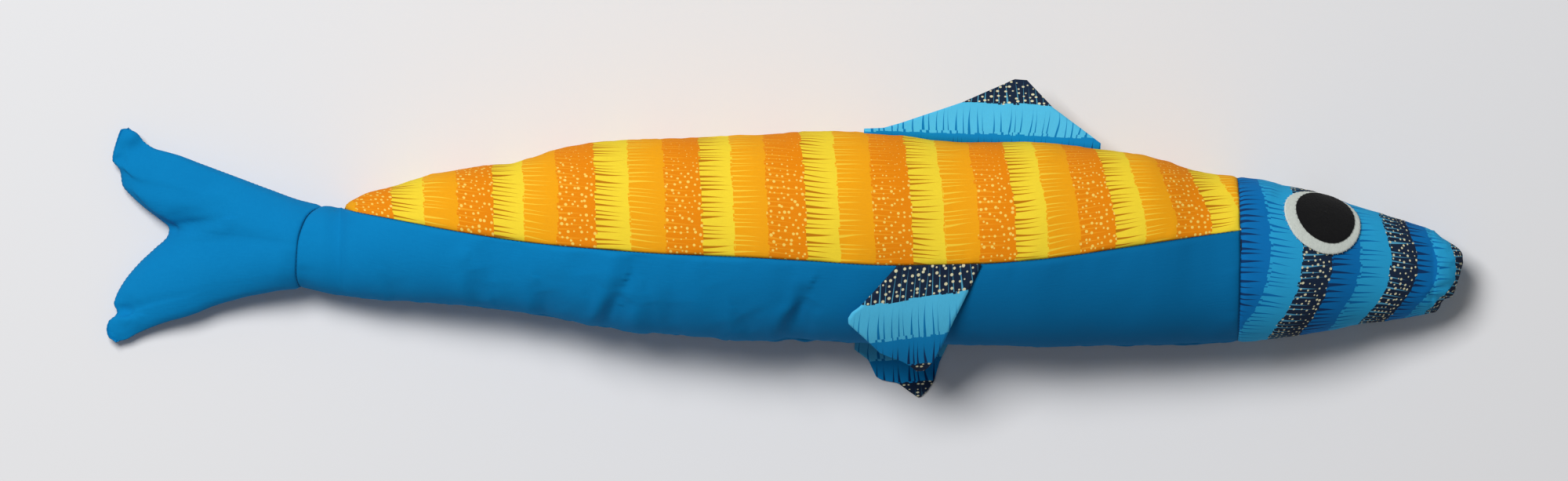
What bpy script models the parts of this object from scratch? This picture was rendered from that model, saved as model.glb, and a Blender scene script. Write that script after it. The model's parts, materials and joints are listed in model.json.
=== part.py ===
"""Stuffed patchwork fish, sewn from cotton panels, lying on its left side.

+X points to the snout, +Y to the back of the fish and +Z to its right side, which is up.
The origin is on the floor, under the middle of the torso, where the left panels rest.
Cloth is a thin shell, filling is a solid, and each seam has its thread. The torso ends in
a round bulge at the head and at the tail, which both lap over it and turn on it.
"""

import math
from collections import namedtuple

import bmesh
import bpy
from mathutils import Vector

# Overall sizes, in metres
FISH_LENGTH = 0.900
FISH_DEPTH = 0.1405
FISH_THICKNESS = 0.1236

# Cloth, felt, thread and the gaps between them
CLOTH = 0.0007
FELT = 0.0012
THREAD = 0.0004
SEAM_GAP = 0.0008
LAP_GAP = 0.0005
THREAD_GAP = 0.00025
FILLING_INSET = 0.0023
HOLLOW_GAP = 0.0022
HOLLOW_WALL = 0.0011

# Bends at the two cross seams
# The torso is drawn in at each, and the head swells a little where it laps over
HEAD_SEAM_X = 0.294
HEAD_SEAM_TILT = math.radians(15)
HEAD_SEAM_DRAW = 0.0016
HEAD_SWELL = 0.0012
TAIL_SEAM_X = -0.308
TAIL_SEAM_TILT = math.radians(30)
TAIL_SEAM_DRAW = 0.0008
BACK_TIP_X = -0.2915
SNOUT_X = 0.430
FLAT_FOLD = math.radians(90)
HOLLOW_EDGE = math.radians(45)
HEAD_HOLLOW_TILT = math.radians(30)
TAIL_HOLLOW_TILT = math.radians(50)

# Eyes
EYE_X = 0.355
EYE_ANGLE = math.radians(50)
EYE_WHITE_RADIUS = 0.0265
PUPIL_RADIUS = 0.0205
PUPIL_FORWARD = 0.0035
PUPIL_UP = 0.0015
FELT_GAP = 0.0004
FELT_RING_STEP = 0.0090

# Fins
FIN_LAYER_GAP = 0.0010
FIN_CLEARANCE = 0.0003
FIN_ROOT_THREAD = 0.0010
DORSAL_FIN_START_X = 0.053
DORSAL_FIN_BASE = 0.157
DORSAL_FIN_HEIGHT = 0.040
DORSAL_FIN_DROOP = math.radians(6)
DORSAL_FIN_CURL = 6.0
SIDE_FIN_START_X = 0.0735
SIDE_FIN_BASE = 0.056
SIDE_FIN_LENGTH = 0.088
SIDE_FIN_SPAN = 0.060
RIGHT_FIN_CURL = 9.2
FIN_THREAD_INSET = 0.0035
SEAM_THREAD_STEP = 0.0008

# Tail
TAIL_EDGE_INSET = 0.07
TAIL_THREAD_INSET = 0.025
TAIL_FILLING_START = 0.16
TAIL_FILLING_END = 0.945
TAIL_FILLING_INSET = 0.0030

MM = 0.001
PATTERN_LENGTH, PATTERN_DEPTH, PATTERN_THICKNESS = 0.900, 0.1405, 0.1236
LENGTHWISE = FISH_LENGTH / PATTERN_LENGTH
DEPTHWISE = FISH_DEPTH / PATTERN_DEPTH
THICKWISE = FISH_THICKNESS / PATTERN_THICKNESS


def smooth(points):
    """A curve through the points that never overshoots them, as a function of x."""
    xs, ys = [p[0] for p in points], [p[1] for p in points]
    steps = [b - a for a, b in zip(xs, xs[1:])]
    rises = [(b - a) / h for a, b, h in zip(ys, ys[1:], steps)]
    slopes = [rises[0]]
    for before, after in zip(rises, rises[1:]):
        turns = before * after <= 0
        slopes.append(0 if turns else 2 * before * after / (before + after))
    slopes.append(rises[-1])

    def value(x):
        x = min(max(x, xs[0]), xs[-1])
        i = max(k for k in range(len(steps)) if xs[k] <= x or k == 0)
        t, h = (x - xs[i]) / steps[i], steps[i]
        start = ys[i] * (1 + 2 * t) + slopes[i] * h * t
        end = ys[i + 1] * (3 - 2 * t) - slopes[i + 1] * h * (1 - t)
        return start * (1 - t) ** 2 + end * t**2

    return value


def drawn(points, upright):
    """Pattern points in millimetres, turned into metres and stretched to the fish's size."""
    return [(x * MM * LENGTHWISE, y * MM * upright) for x, y in points]


# The side view, drawn in millimetres for a fish of the pattern's size
back_line = smooth(drawn([
    (-308, 23.5), (-295, 21.5), (-285, 27), (-259, 36), (-228, 45.5), (-181, 51), (-150, 60.5),
    (-119, 66), (0, 71), (60, 70.5), (120, 65.8), (166, 65.3), (210, 60.8), (240, 56.5),
    (270, 47), (300, 42.3), (340, 34.5), (379, 23), (410, 13.7), (430, 7),
], DEPTHWISE))
belly_line = smooth(drawn([
    (-308, -34.8), (-259, -40.2), (-197, -44.3), (-150, -51), (-119, -57.3), (-72, -62.5),
    (0, -66.2), (60, -68.5), (130, -69.5), (250, -69.2), (300, -67.3), (348, -62), (379, -56),
    (410, -51.6), (430, -48),
], DEPTHWISE))
side_seam_line = smooth(drawn([
    (-292, 21.4), (-245, 12), (-175, -1), (-80, -9), (0, -13), (80, -16.8), (131, -15.6),
    (218, -5.6), (306, 8), (330, 12),
], DEPTHWISE))
# Half thickness as a share of half depth, and how far the underside is pressed flat, in metres
plumpness = smooth([(x * LENGTHWISE, y * THICKWISE / DEPTHWISE) for x, y in [
    (-0.308, 0.88), (0.300, 0.88), (0.379, 0.86), (0.430, 0.76),
]])
sink = smooth(drawn([
    (-308, -1.6), (-270, 1.0), (-150, 4), (0, 5), (200, 4.5), (260, 1.5), (294, -1.6),
], 1))
head_droop = smooth(drawn([(294, 0), (322, 0.4), (355, 4.5), (400, 13), (430, 18)], THICKWISE))

TAIL_HEIGHTS = [(0.3, 0.0205), (0.6, 0.0160), (0.85, 0.0105), (0.94, 0.0070)]
TAIL_MIDDLES = [(0.3, 0.0201), (0.6, 0.0157), (0.85, 0.0112), (1, 0.0090)]
TAIL_TOP = [(0.25, -342, 35), (0.5, -375, 47), (0.75, -409, 59.5), (0.9, -428, 67.5)]
TAIL_BOTTOM = [(0.1, -321, -33), (0.25, -345, -35.5), (0.5, -378, -43.5), (0.75, -412, -55)]
TAIL_UPPER_TIP, TAIL_LOWER_TIP = (-440, 73.5), (-444, -67)
tail_fork = smooth([(v, x * MM * LENGTHWISE) for v, x in [
    (0, -440), (0.05, -445), (0.136, -446.5), (0.257, -441.5), (0.357, -429), (0.454, -413),
    (0.485, -410.5), (0.51, -411), (0.61, -427), (0.72, -440.5), (0.82, -446), (0.907, -450),
    (0.964, -450), (1, -444),
]])

Section = namedtuple("Section", "middle_y half_depth half_thickness middle_z")
HEAD_X, TAIL_X = HEAD_SEAM_X * LENGTHWISE, TAIL_SEAM_X * LENGTHWISE
RIGHT, LEFT = 1, -1
LAP = LAP_GAP + CLOTH
# The drawing-in of the torso towards its two ends, and the swell of the head past its seam
torso_draw = smooth([
    (TAIL_X, -TAIL_SEAM_DRAW), (TAIL_X + 0.022, 0), (HEAD_X - 0.032, 0), (HEAD_X, -HEAD_SEAM_DRAW),
])
head_swell = smooth([
    (HEAD_X, LAP - HEAD_SEAM_DRAW), (HEAD_X + 0.006, HEAD_SWELL), (HEAD_X + 0.012, HEAD_SWELL),
    (HEAD_X + 0.028, 0),
])

# Where the left fin lies under the torso, the underside is lifted by the fin's thickness
FIN_THICKNESS = 2 * CLOTH + FIN_LAYER_GAP
FIN_ROOM = FIN_THICKNESS + 2 * FIN_CLEARANCE - 0.0003
FIN_RAMP = 0.018
fin_start = SIDE_FIN_START_X * LENGTHWISE
fin_room = smooth([
    (fin_start - 0.060, 0), (fin_start - 0.042, FIN_ROOM),
    (fin_start + SIDE_FIN_BASE + 0.014, FIN_ROOM), (fin_start + SIDE_FIN_BASE + 0.034, 0),
])


def half_depth_at(x):
    return (back_line(x) - belly_line(x)) / 2


def middle_height(x):
    """Height of the fish's middle: the torso is pressed on the floor, the head droops."""
    at = min(x, HEAD_X)
    return half_depth_at(at) * plumpness(at) - sink(at) - head_droop(x)


def section(x, extra=0.0):
    """The cross-section at x, larger than the drawn one all round by extra."""
    half_depth = half_depth_at(x)
    half_thickness = half_depth * plumpness(x)
    middle_y = (back_line(x) + belly_line(x)) / 2
    return Section(middle_y, half_depth + extra, half_thickness + extra, middle_height(x))


def underside(x, y):
    """Height of whatever the left side rests on: the floor, or the left fin."""
    share = min(max((y - side_seam_line(x) - 0.003) / FIN_RAMP, 0), 1)
    return fin_room(x) * (1 - share * share * (3 - 2 * share))


def ring_point(x, angle, inset=0.0, tilt=0.0, extra=0.0, gap=0.0):
    """A point of the skin. angle runs from the back over the right side to the belly.

    A tilt swings the section about the upright axis through x, which makes the round ends.
    """
    s = section(x, extra)
    reach = (s.half_thickness - inset) * math.sin(angle)
    side = RIGHT if reach >= 0 else LEFT
    off_middle = max(abs(reach) * math.cos(tilt), gap)
    y = s.middle_y + (s.half_depth - inset) * math.cos(angle)
    z = s.middle_z + side * off_middle
    forward = abs(reach) * math.sin(tilt)
    return Vector((x + forward, y, max(z, underside(x, y) + inset)))


def panel_point(x, angle, side, tilt=0.0, extra=0.0):
    """A point of a right or left panel, whose edges stay half a seam gap off the middle."""
    point = ring_point(x, angle, 0, tilt, extra, SEAM_GAP / 2)
    if side == RIGHT:
        return point
    mirrored = 2 * section(x).middle_z - point.z
    return Vector((point.x, point.y, max(mirrored, underside(x, point.y))))


def side_seam_angle(x):
    s = section(x)
    return math.acos(min(max((side_seam_line(x) - s.middle_y) / s.half_depth, -1), 1))


def seam_margin(x, angle):
    """The angle that covers half a seam gap there."""
    s = section(x)
    speed = math.hypot(s.half_depth * math.sin(angle), s.half_thickness * math.cos(angle))
    return SEAM_GAP / 2 / speed


def spread(start, end, count):
    return [*(start + (end - start) * i / count for i in range(count)), end]


# Building

def material(name, colour, roughness):
    made = bpy.data.materials.get(name) or bpy.data.materials.new(name)
    made.use_nodes = True
    shader = made.node_tree.nodes["Principled BSDF"]
    shader.inputs["Base Color"].default_value = (*colour, 1)
    shader.inputs["Roughness"].default_value = roughness
    return made


def add_object(name, mesh, look):
    mesh.materials.append(material(*look))
    made = bpy.data.objects.new(name, mesh)
    collection.objects.link(made)
    return made


def grid_mesh(name, rows, closed=False):
    """A skin through rows of points. Points that coincide, as at a pole, become one."""
    bm = bmesh.new()
    verts = [[bm.verts.new(p) for p in row] for row in rows]
    for upper, lower in zip(verts, verts[1:]):
        last = len(upper) if closed else len(upper) - 1
        for i in range(last):
            j = (i + 1) % len(upper)
            bm.faces.new((upper[i], upper[j], lower[j], lower[i]))
    bmesh.ops.remove_doubles(bm, verts=bm.verts, dist=0.00001)
    mesh = bpy.data.meshes.new(name)
    bm.to_mesh(mesh)
    bm.free()
    return mesh


def sheet(name, rows, look, outward, thickness=CLOTH, offset=-1, closed=False):
    """A thin panel: the skin through rows of points, thickened inwards from its outside."""
    mesh = grid_mesh(name, rows, closed)
    total = sum((f.normal * f.area for f in mesh.polygons), Vector())
    if total.dot(outward) < 0:
        mesh.flip_normals()
    made = add_object(name, mesh, look)
    solidify = made.modifiers.new("cloth thickness", "SOLIDIFY")
    solidify.thickness = thickness
    solidify.offset = offset
    mesh.shade_smooth()
    return made


def solid(name, rings, look):
    """A closed filling, lofted through rings whose two ends fold flat."""
    mesh = grid_mesh(name, rings, closed=True)
    bm = bmesh.new()
    bm.from_mesh(mesh)
    bmesh.ops.recalc_face_normals(bm, faces=bm.faces)
    if bm.calc_volume(signed=True) < 0:
        bmesh.ops.reverse_faces(bm, faces=bm.faces)
    bm.to_mesh(mesh)
    bm.free()
    mesh.shade_smooth()
    return add_object(name, mesh, look)


def thread(name, points, look, closed=False):
    """A sewing thread along the points."""
    curve = bpy.data.curves.new(name, "CURVE")
    curve.dimensions = "3D"
    curve.bevel_depth = THREAD / 2
    curve.bevel_resolution = 0
    curve.use_fill_caps = not closed
    spline = curve.splines.new("POLY")
    spline.points.add(len(points) - 1)
    for held, point in zip(spline.points, points):
        held.co = (*point, 1)
    spline.use_cyclic_u = closed
    curve.materials.append(material(*look))
    made = bpy.data.objects.new(name, curve)
    collection.objects.link(made)
    return made


ORANGE_PRINT = ("orange_print", (0.95, 0.48, 0.02), 0.85)
PLAIN_BLUE = ("plain_blue", (0.01, 0.22, 0.50), 0.85)
BLUE_PRINT = ("blue_print", (0.05, 0.35, 0.68), 0.85)
WHITE_FELT = ("white_felt", (0.62, 0.68, 0.63), 0.95)
BLACK_FELT = ("black_felt", (0.012, 0.012, 0.011), 0.95)
FILLING = ("fibre_filling", (0.90, 0.90, 0.88), 1.0)
BLUE_THREAD = ("blue_thread", (0.02, 0.10, 0.28), 0.7)
ORANGE_THREAD = ("orange_thread", (0.75, 0.33, 0.03), 0.7)

# A fatter fish gets more facets round it, so that they stay as near to the true round
FACETS = max(1, DEPTHWISE, THICKWISE)
RING = 2 * math.ceil(12 * FACETS)
BACK_SPANS, BELLY_SPANS = math.ceil(6 * FACETS), math.ceil(7 * FACETS)
FAN = [math.radians(d) for d in (10, 21, 33, 46, 60, 75, 90)]
TORSO_STATIONS = [x * MM * LENGTHWISE for x in (
    -300, -292.3, -291.5, -288.5, -284, -276, -260, -240, -215, -185, -155, -125, -90, -50,
    -10, 12, 30, 55, 85, 115, 143, 164, 190, 220, 245, 262, 278,
)]


def ring(x, inset, tilt=0.0, extra=0.0):
    return [ring_point(x, 2 * math.pi * i / RING, inset, tilt, extra) for i in range(RING)]


def hollow(x, tilt, extra, count):
    """A ring of the hollow that a round end turns in. The hollow stops short of the seams."""
    found = []
    for i in range(count):
        angle = 2 * math.pi * i / count
        side = RIGHT if angle <= math.pi else LEFT
        angle = angle if side == RIGHT else 2 * math.pi - angle
        edge = i in (0, count // 2)
        angle = side * min(max(angle, HOLLOW_EDGE), math.pi - HOLLOW_EDGE)
        turned = math.copysign(FLAT_FOLD, tilt) if edge else tilt
        found.append(ring_point(x, angle, 0, turned, extra))
    return found


def rim_loop(x, tilt):
    """A loop on the torso's round end, a step short of where the head or tail laps over it."""
    s = section(x, torso_draw(x) + THREAD_GAP + THREAD / 2)
    found = []
    for i in range(32):
        angle = 2 * math.pi * i / 32
        reach = s.half_thickness * math.sin(angle)
        forward = abs(reach) * math.sin(abs(tilt)) - SEAM_THREAD_STEP
        off_middle = math.copysign(math.sqrt(max(reach**2 - forward**2, 0)), reach)
        y = s.middle_y + s.half_depth * math.cos(angle)
        found.append(Vector((x + math.copysign(forward, forward * tilt), y, s.middle_z + off_middle)))
    return found


# Torso

def torso_panels():
    """Upper panels in the orange print, lower panels in plain blue, on both sides."""
    tail_end = [(TAIL_X, -math.radians(d)) for d in (60, 48, 36, 24, 12)]
    head_end = [(HEAD_X, math.radians(d)) for d in (0, 10, 20, 31)]
    stations = [*tail_end, (TAIL_X, 0), *[(x, 0) for x in TORSO_STATIONS], *head_end]
    back_stations = [(x, tilt) for x, tilt in stations if x >= BACK_TIP_X * LENGTHWISE]
    for side, side_name in ((RIGHT, "right"), (LEFT, "left")):
        back, belly = [], []
        for x, tilt in back_stations:
            seam = side_seam_angle(x)
            angles = spread(0, seam - seam_margin(x, seam), BACK_SPANS)
            back.append([panel_point(x, a, side, tilt, torso_draw(x)) for a in angles])
        for x, tilt in stations:
            seam = side_seam_angle(x)
            top = seam + seam_margin(x, seam) if x >= BACK_TIP_X * LENGTHWISE else 0
            angles = spread(top, math.pi, BELLY_SPANS)
            belly.append([panel_point(x, a, side, tilt, torso_draw(x)) for a in angles])
        outward = Vector((0, 0, side))
        sheet(f"back_panel_{side_name}", back, ORANGE_PRINT, outward)
        sheet(f"belly_panel_{side_name}", belly, PLAIN_BLUE, outward)


def torso_filling():
    stations = [(TAIL_X, -tilt) for tilt in reversed(FAN)]
    stations += [(x, 0) for x in (TAIL_X, *TORSO_STATIONS, HEAD_X)]
    stations += [(HEAD_X, tilt) for tilt in FAN]
    rings = [ring(x, FILLING_INSET, tilt, torso_draw(x)) for x, tilt in stations]
    solid("torso_filling", rings, FILLING)


def torso_threads():
    """Threads of the lengthwise seams, just inside the cloth."""
    inset = CLOTH + THREAD_GAP + THREAD / 2
    seams = [
        ("back_seam_thread", 0, ORANGE_THREAD),
        ("belly_seam_thread", math.pi, BLUE_THREAD),
        ("side_seam_thread_right", RIGHT, BLUE_THREAD),
        ("side_seam_thread_left", LEFT, BLUE_THREAD),
    ]
    for name, where, look in seams:
        points = []
        for x in [TAIL_X, *TORSO_STATIONS, HEAD_X]:
            lengthwise = name.startswith("side")
            if lengthwise and x < BACK_TIP_X * LENGTHWISE + 0.012:
                continue
            angle = where * side_seam_angle(x) if lengthwise else where
            points.append(ring_point(x, angle, inset, 0, torso_draw(x)))
        thread(name, points, look)


# Head

HEAD_STATIONS = [x * MM * LENGTHWISE for x in (310, 317, 327, 341, 356, 371, 386, 401, 416, 430)]


def head_rim(angle):
    """Where the head's cloth ends over the torso's round end, at each angle."""
    reach = section(HEAD_X, LAP - HEAD_SEAM_DRAW).half_thickness * math.sin(angle)
    return HEAD_X + reach * math.sin(HEAD_SEAM_TILT)


def head_panels():
    tilts = [math.radians(d) for d in (18, 36, 54, 72, 90)]
    seam = side_seam_angle(HEAD_X)
    angles = [*spread(0, seam, BACK_SPANS), *spread(seam, math.pi, BELLY_SPANS)[1:]]
    for side, side_name in ((RIGHT, "right"), (LEFT, "left")):
        rows = []
        for share in (0, 0.4):
            xs = [(1 - share) * head_rim(a) + share * HEAD_STATIONS[0] for a in angles]
            rows.append([panel_point(x, a, side, 0, head_swell(x)) for x, a in zip(xs, angles)])
        for x in HEAD_STATIONS:
            rows.append([panel_point(x, a, side, 0, head_swell(x)) for a in angles])
        for tilt in tilts:
            rows.append([panel_point(SNOUT_X * LENGTHWISE, a, side, tilt) for a in angles])
        sheet(f"head_panel_{side_name}", rows, BLUE_PRINT, Vector((0, 0, side)))


def in_head_cloth(point):
    s = section(point.x, head_swell(point.x) - HOLLOW_WALL)
    across = (point.y - s.middle_y) / s.half_depth
    return math.hypot(across, (point.z - s.middle_z) / s.half_thickness) < 1


def head_filling():
    """Hollow at the back, where the torso's round end turns."""
    clear = HOLLOW_GAP - HEAD_SEAM_DRAW
    rings = []
    for tilt in reversed(FAN):
        row = hollow(HEAD_X, tilt, clear, RING)
        if tilt > HEAD_HOLLOW_TILT and all(in_head_cloth(point) for point in row):
            rings.append(row)
    stations = [x for x in HEAD_STATIONS if x > HEAD_X + 0.030]
    rings += [ring(x, FILLING_INSET, 0, head_swell(x)) for x in stations]
    rings += [ring(SNOUT_X * LENGTHWISE, FILLING_INSET, tilt) for tilt in FAN]
    solid("head_filling", rings, FILLING)


def head_threads():
    inset = CLOTH + THREAD_GAP + THREAD / 2
    snout = SNOUT_X * LENGTHWISE
    top = [ring_point(x, 0, inset) for x in HEAD_STATIONS]
    front = [ring_point(snout, a, inset, FLAT_FOLD) for a in spread(0, math.pi, 10)]
    bottom = [ring_point(x, math.pi, inset) for x in reversed(HEAD_STATIONS)]
    thread("head_edge_thread", [*top, *front[1:-1], *bottom], BLUE_THREAD)
    thread("head_seam_thread", rim_loop(HEAD_X, HEAD_SEAM_TILT), BLUE_THREAD, closed=True)


def felt_disc(name, side, radius, forward, up, lift, look):
    """A felt circle laid on the head: rings about its middle, measured along the skin."""
    segments, ring_count = 24, math.ceil(radius / FELT_RING_STEP)
    rows = []
    for k in range(ring_count + 1):
        row = []
        for i in range(segments):
            turn = 2 * math.pi * i / segments
            along = radius * k / ring_count * math.cos(turn) + forward
            across = radius * k / ring_count * math.sin(turn) - up
            x = EYE_X * LENGTHWISE + along
            s = section(x)
            speed = math.hypot(
                s.half_depth * math.sin(EYE_ANGLE + across / s.half_depth / 2),
                s.half_thickness * math.cos(EYE_ANGLE + across / s.half_depth / 2),
            )
            point = ring_point(x, EYE_ANGLE + across / speed, -lift, 0, head_swell(x))
            if side == LEFT:
                point.z = 2 * s.middle_z - point.z
            row.append(point)
        rows.append(row)
    sheet(name, rows, look, Vector((0, 0, side)), FELT, 1, closed=True)


def eyes():
    for side, side_name in ((RIGHT, "right"), (LEFT, "left")):
        felt_disc(f"eye_white_{side_name}", side, EYE_WHITE_RADIUS, 0, 0, FELT_GAP, WHITE_FELT)
        pupil_lift = 2 * FELT_GAP + FELT
        felt_disc(f"pupil_{side_name}", side, PUPIL_RADIUS, PUPIL_FORWARD, PUPIL_UP,
                  pupil_lift, BLACK_FELT)


# Tail

TAIL_ROOT = section(TAIL_X, LAP - TAIL_SEAM_DRAW)


def tail_plan(u, v):
    """A place on the tail seen from the side: u from the seam to the fork, v from top to bottom."""
    root = TAIL_ROOT
    angle = math.acos(1 - 2 * v)
    rim = Vector((
        TAIL_X - root.half_thickness * math.sin(angle) * math.sin(TAIL_SEAM_TILT),
        root.middle_y + root.half_depth * math.cos(angle),
    ))
    root_top = Vector((TAIL_X, root.middle_y + root.half_depth))
    root_bottom = Vector((TAIL_X, root.middle_y - root.half_depth))
    tip_top, tip_bottom = (
        Vector((x * MM * LENGTHWISE, y * MM * DEPTHWISE))
        for x, y in (TAIL_UPPER_TIP, TAIL_LOWER_TIP)
    )
    fork = Vector((tail_fork(v), tip_top.y + (tip_bottom.y - tip_top.y) * v))

    def edge(root, drawn_points, tip):
        xs = [(0, root.x), *[(a, x * MM * LENGTHWISE) for a, x, y in drawn_points], (1, tip.x)]
        ys = [(0, root.y), *[(a, y * MM * DEPTHWISE) for a, x, y in drawn_points], (1, tip.y)]
        return Vector((smooth(xs)(u), smooth(ys)(u)))

    top, bottom = edge(root_top, TAIL_TOP, tip_top), edge(root_bottom, TAIL_BOTTOM, tip_bottom)
    lengthwise = rim * (1 - u) + fork * u
    upright = top * (1 - v) + bottom * v
    corners = (root_top * (1 - u) * (1 - v) + root_bottom * (1 - u) * v
               + tip_top * u * (1 - v) + tip_bottom * u * v)
    return lengthwise + upright - corners


def tail_height(u):
    """Half the tail's thickness along its middle, down to the sewn edge at the fork."""
    root = TAIL_ROOT.half_thickness * math.cos(TAIL_SEAM_TILT)
    thick = [(u_at, h * THICKWISE) for u_at, h in TAIL_HEIGHTS]
    return smooth([(0, root), *thick, (1, CLOTH + SEAM_GAP / 2)])(u)


def tail_middle(u):
    heights = [(u_at, z * THICKWISE) for u_at, z in TAIL_MIDDLES]
    return smooth([(0, TAIL_ROOT.middle_z), *heights])(u)


def tail_point(u, v, height, floor=0.0):
    """height is signed: up for the right side, down for the left, which the floor stops."""
    place = tail_plan(u, v)
    return Vector((place.x, place.y, max(tail_middle(u) + height, floor)))


TAIL_COLUMNS = (0, 0.04, 0.1, 0.2, 0.33, 0.48, 0.63, 0.76, 0.87, 0.94, 1)
TAIL_SPANS = 18


def tail_panels():
    edge = CLOTH + SEAM_GAP / 2
    for side, side_name in ((RIGHT, "right"), (LEFT, "left")):
        rows = []
        for u in TAIL_COLUMNS:
            row = []
            for angle in spread(0, math.pi, TAIL_SPANS):
                height = edge + (tail_height(u) - edge) * math.sin(angle)
                row.append(tail_point(u, (1 - math.cos(angle)) / 2, side * height))
            rows.append(row)
        sheet(f"tail_panel_{side_name}", rows, PLAIN_BLUE, Vector((0, 0, side)))


def tail_filling():
    """Hollow in front, where the torso's round end turns."""
    tilts = [tilt for tilt in FAN if tilt > TAIL_HOLLOW_TILT]
    clear = HOLLOW_GAP - TAIL_SEAM_DRAW
    count = 2 * TAIL_SPANS
    rings = [hollow(TAIL_X, -tilt, clear, count) for tilt in reversed(tilts)]
    columns = [u for u in TAIL_COLUMNS if TAIL_FILLING_START < u < TAIL_FILLING_END]
    for u in (TAIL_FILLING_START, *columns, TAIL_FILLING_END):
        row = []
        for i in range(count):
            angle = 2 * math.pi * i / count
            v = TAIL_EDGE_INSET + (1 - math.cos(angle)) / 2 * (1 - 2 * TAIL_EDGE_INSET)
            last = 0 if u == TAIL_FILLING_END else 1
            height = last * (tail_height(u) - TAIL_FILLING_INSET) * math.sin(angle)
            row.append(tail_point(u, v, height, FILLING_INSET))
        rings.append(row)
    solid("tail_filling", rings, FILLING)


def tail_threads():
    """One thread round the tail's outline, between its two panels, and one round its root."""
    inset, last = TAIL_THREAD_INSET, 1 - TAIL_THREAD_INSET
    top = [tail_point(u, inset, 0) for u in spread(0.08, last, 11)]
    fork = [tail_point(last, v, 0) for v in spread(inset, last, 26)]
    bottom = [tail_point(u, last, 0) for u in spread(last, 0.08, 11)]
    thread("tail_edge_thread", [*top, *fork[1:-1], *bottom], BLUE_THREAD)
    thread("tail_seam_thread", rim_loop(TAIL_X, -TAIL_SEAM_TILT), BLUE_THREAD, closed=True)


# Fins

# A fin's two side edges: how far it has come from its base, and where the edge is then
DORSAL_EDGES = (
    [(0, -0.5), (0.5, -0.175), (1, 0.135)],
    [(0, 0.5), (0.55, 0.29), (1, 0.175)],
)
SIDE_EDGES = (
    [(0, -0.467), (0.46, -1.0), (0.53, -0.95), (1, -0.283)],
    [(0, 0.467), (0.93, -0.1), (1, -0.2)],
)
Fin = namedtuple("Fin", "name start end away curl_to curl length span edges look")


def on_line(points, at):
    """The value at a place on a line of straight runs."""
    for (a, start), (b, end) in zip(points, points[1:]):
        if at <= b:
            return start + (end - start) * (at - a) / (b - a)
    return points[-1][1]


def fin_point(fin, across, out, lift):
    """across runs along the hinge from the base's middle, out leaves it, lift is off the sheet."""
    along = (fin.end - fin.start).normalized()
    away = (fin.away - along * fin.away.dot(along)).normalized()
    curl_to = away.cross(along)
    curl_to *= 1 if curl_to.dot(fin.curl_to) > 0 else -1
    turn = fin.curl * out
    if fin.curl:
        reach, drop = math.sin(turn) / fin.curl, (1 - math.cos(turn)) / fin.curl
    else:
        reach, drop = out, 0
    normal = away * math.sin(turn) - curl_to * math.cos(turn)
    middle = (fin.start + fin.end) / 2
    return middle + along * across + away * reach + curl_to * drop + normal * lift


def fin_rows(fin, lift, steps=6, rows=8):
    left, right = fin.edges
    stops = sorted({i / rows for i in range(rows + 1)} | {p[0] for p in (*left, *right)})
    found = []
    for v in stops:
        ends = on_line(left, v) * fin.span, on_line(right, v) * fin.span
        found.append([fin_point(fin, a, v * fin.length, lift) for a in spread(*ends, steps)])
    return found


def fin(fin_made):
    """Two layers of cloth and the thread that joins them, and sews their root into its seam."""
    half = FIN_LAYER_GAP / 2
    outward = fin_point(fin_made, 0, 0, 1) - fin_point(fin_made, 0, 0, 0)
    names = ("outer", "inner") if fin_made.name != "dorsal_fin" else ("right", "left")
    for lift, layer, facing in ((half, names[0], outward), (-half, names[1], -outward)):
        sheet(f"{fin_made.name}_{layer}_layer", fin_rows(fin_made, lift), fin_made.look, facing,
              CLOTH, 1)
    left, right = fin_made.edges
    first, last = FIN_THREAD_INSET, fin_made.length - FIN_THREAD_INSET
    outs = spread(first, last, 8)

    def edge_point(edge, out, inwards):
        across = on_line(edge, out / fin_made.length) * fin_made.span
        return fin_point(fin_made, across + inwards * FIN_THREAD_INSET * 0.8, out, 0)

    down = [edge_point(left, out, 1) for out in outs]
    up = [edge_point(right, out, -1) for out in reversed(outs)]
    if (down[-1] - up[0]).length < 4 * THREAD or (down[-1] - up[0]).dot(down[0] - up[-1]) < 0:
        down, up = down[:-1], up[1:]
    inset = FIN_THREAD_INSET * 0.8
    root_ends = right[0][1] * fin_made.span - inset, left[0][1] * fin_made.span + inset
    root = [fin_point(fin_made, a, -FIN_ROOT_THREAD, 0) for a in spread(*root_ends, 8)]
    thread(f"{fin_made.name}_thread", [*down, *up, *root], BLUE_THREAD, closed=True)


def hinge_of_dorsal_fin():
    """Two ends of the line that the dorsal fin turns about, clear of the back seam."""
    start_x = DORSAL_FIN_START_X * LENGTHWISE
    end_x = start_x + DORSAL_FIN_BASE
    ends = [Vector((x, back_line(x), section(x).middle_z)) for x in (start_x, end_x)]
    span = ends[1] - ends[0]
    rise = max(
        back_line(start_x + span.x * t) - (ends[0].y + span.y * t) for t in spread(0, 1, 40)
    )
    lift = Vector((0, rise + FIN_THICKNESS / 2 + FIN_CLEARANCE, 0))
    return [end + lift for end in ends]


def hinge_of_side_fin(side):
    """Two ends of the line that a side fin turns about, clear of the side seam."""
    start_x = SIDE_FIN_START_X * LENGTHWISE
    clear = FIN_THICKNESS / 2 + FIN_CLEARANCE
    ends = []
    for x in (start_x, start_x + SIDE_FIN_BASE):
        angle = side_seam_angle(x)
        if side == RIGHT:
            ends.append(ring_point(x, angle, -clear))
        else:
            y = side_seam_line(x)
            ends.append(Vector((x, y, fin_room(x) - clear)))
    return ends


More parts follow.
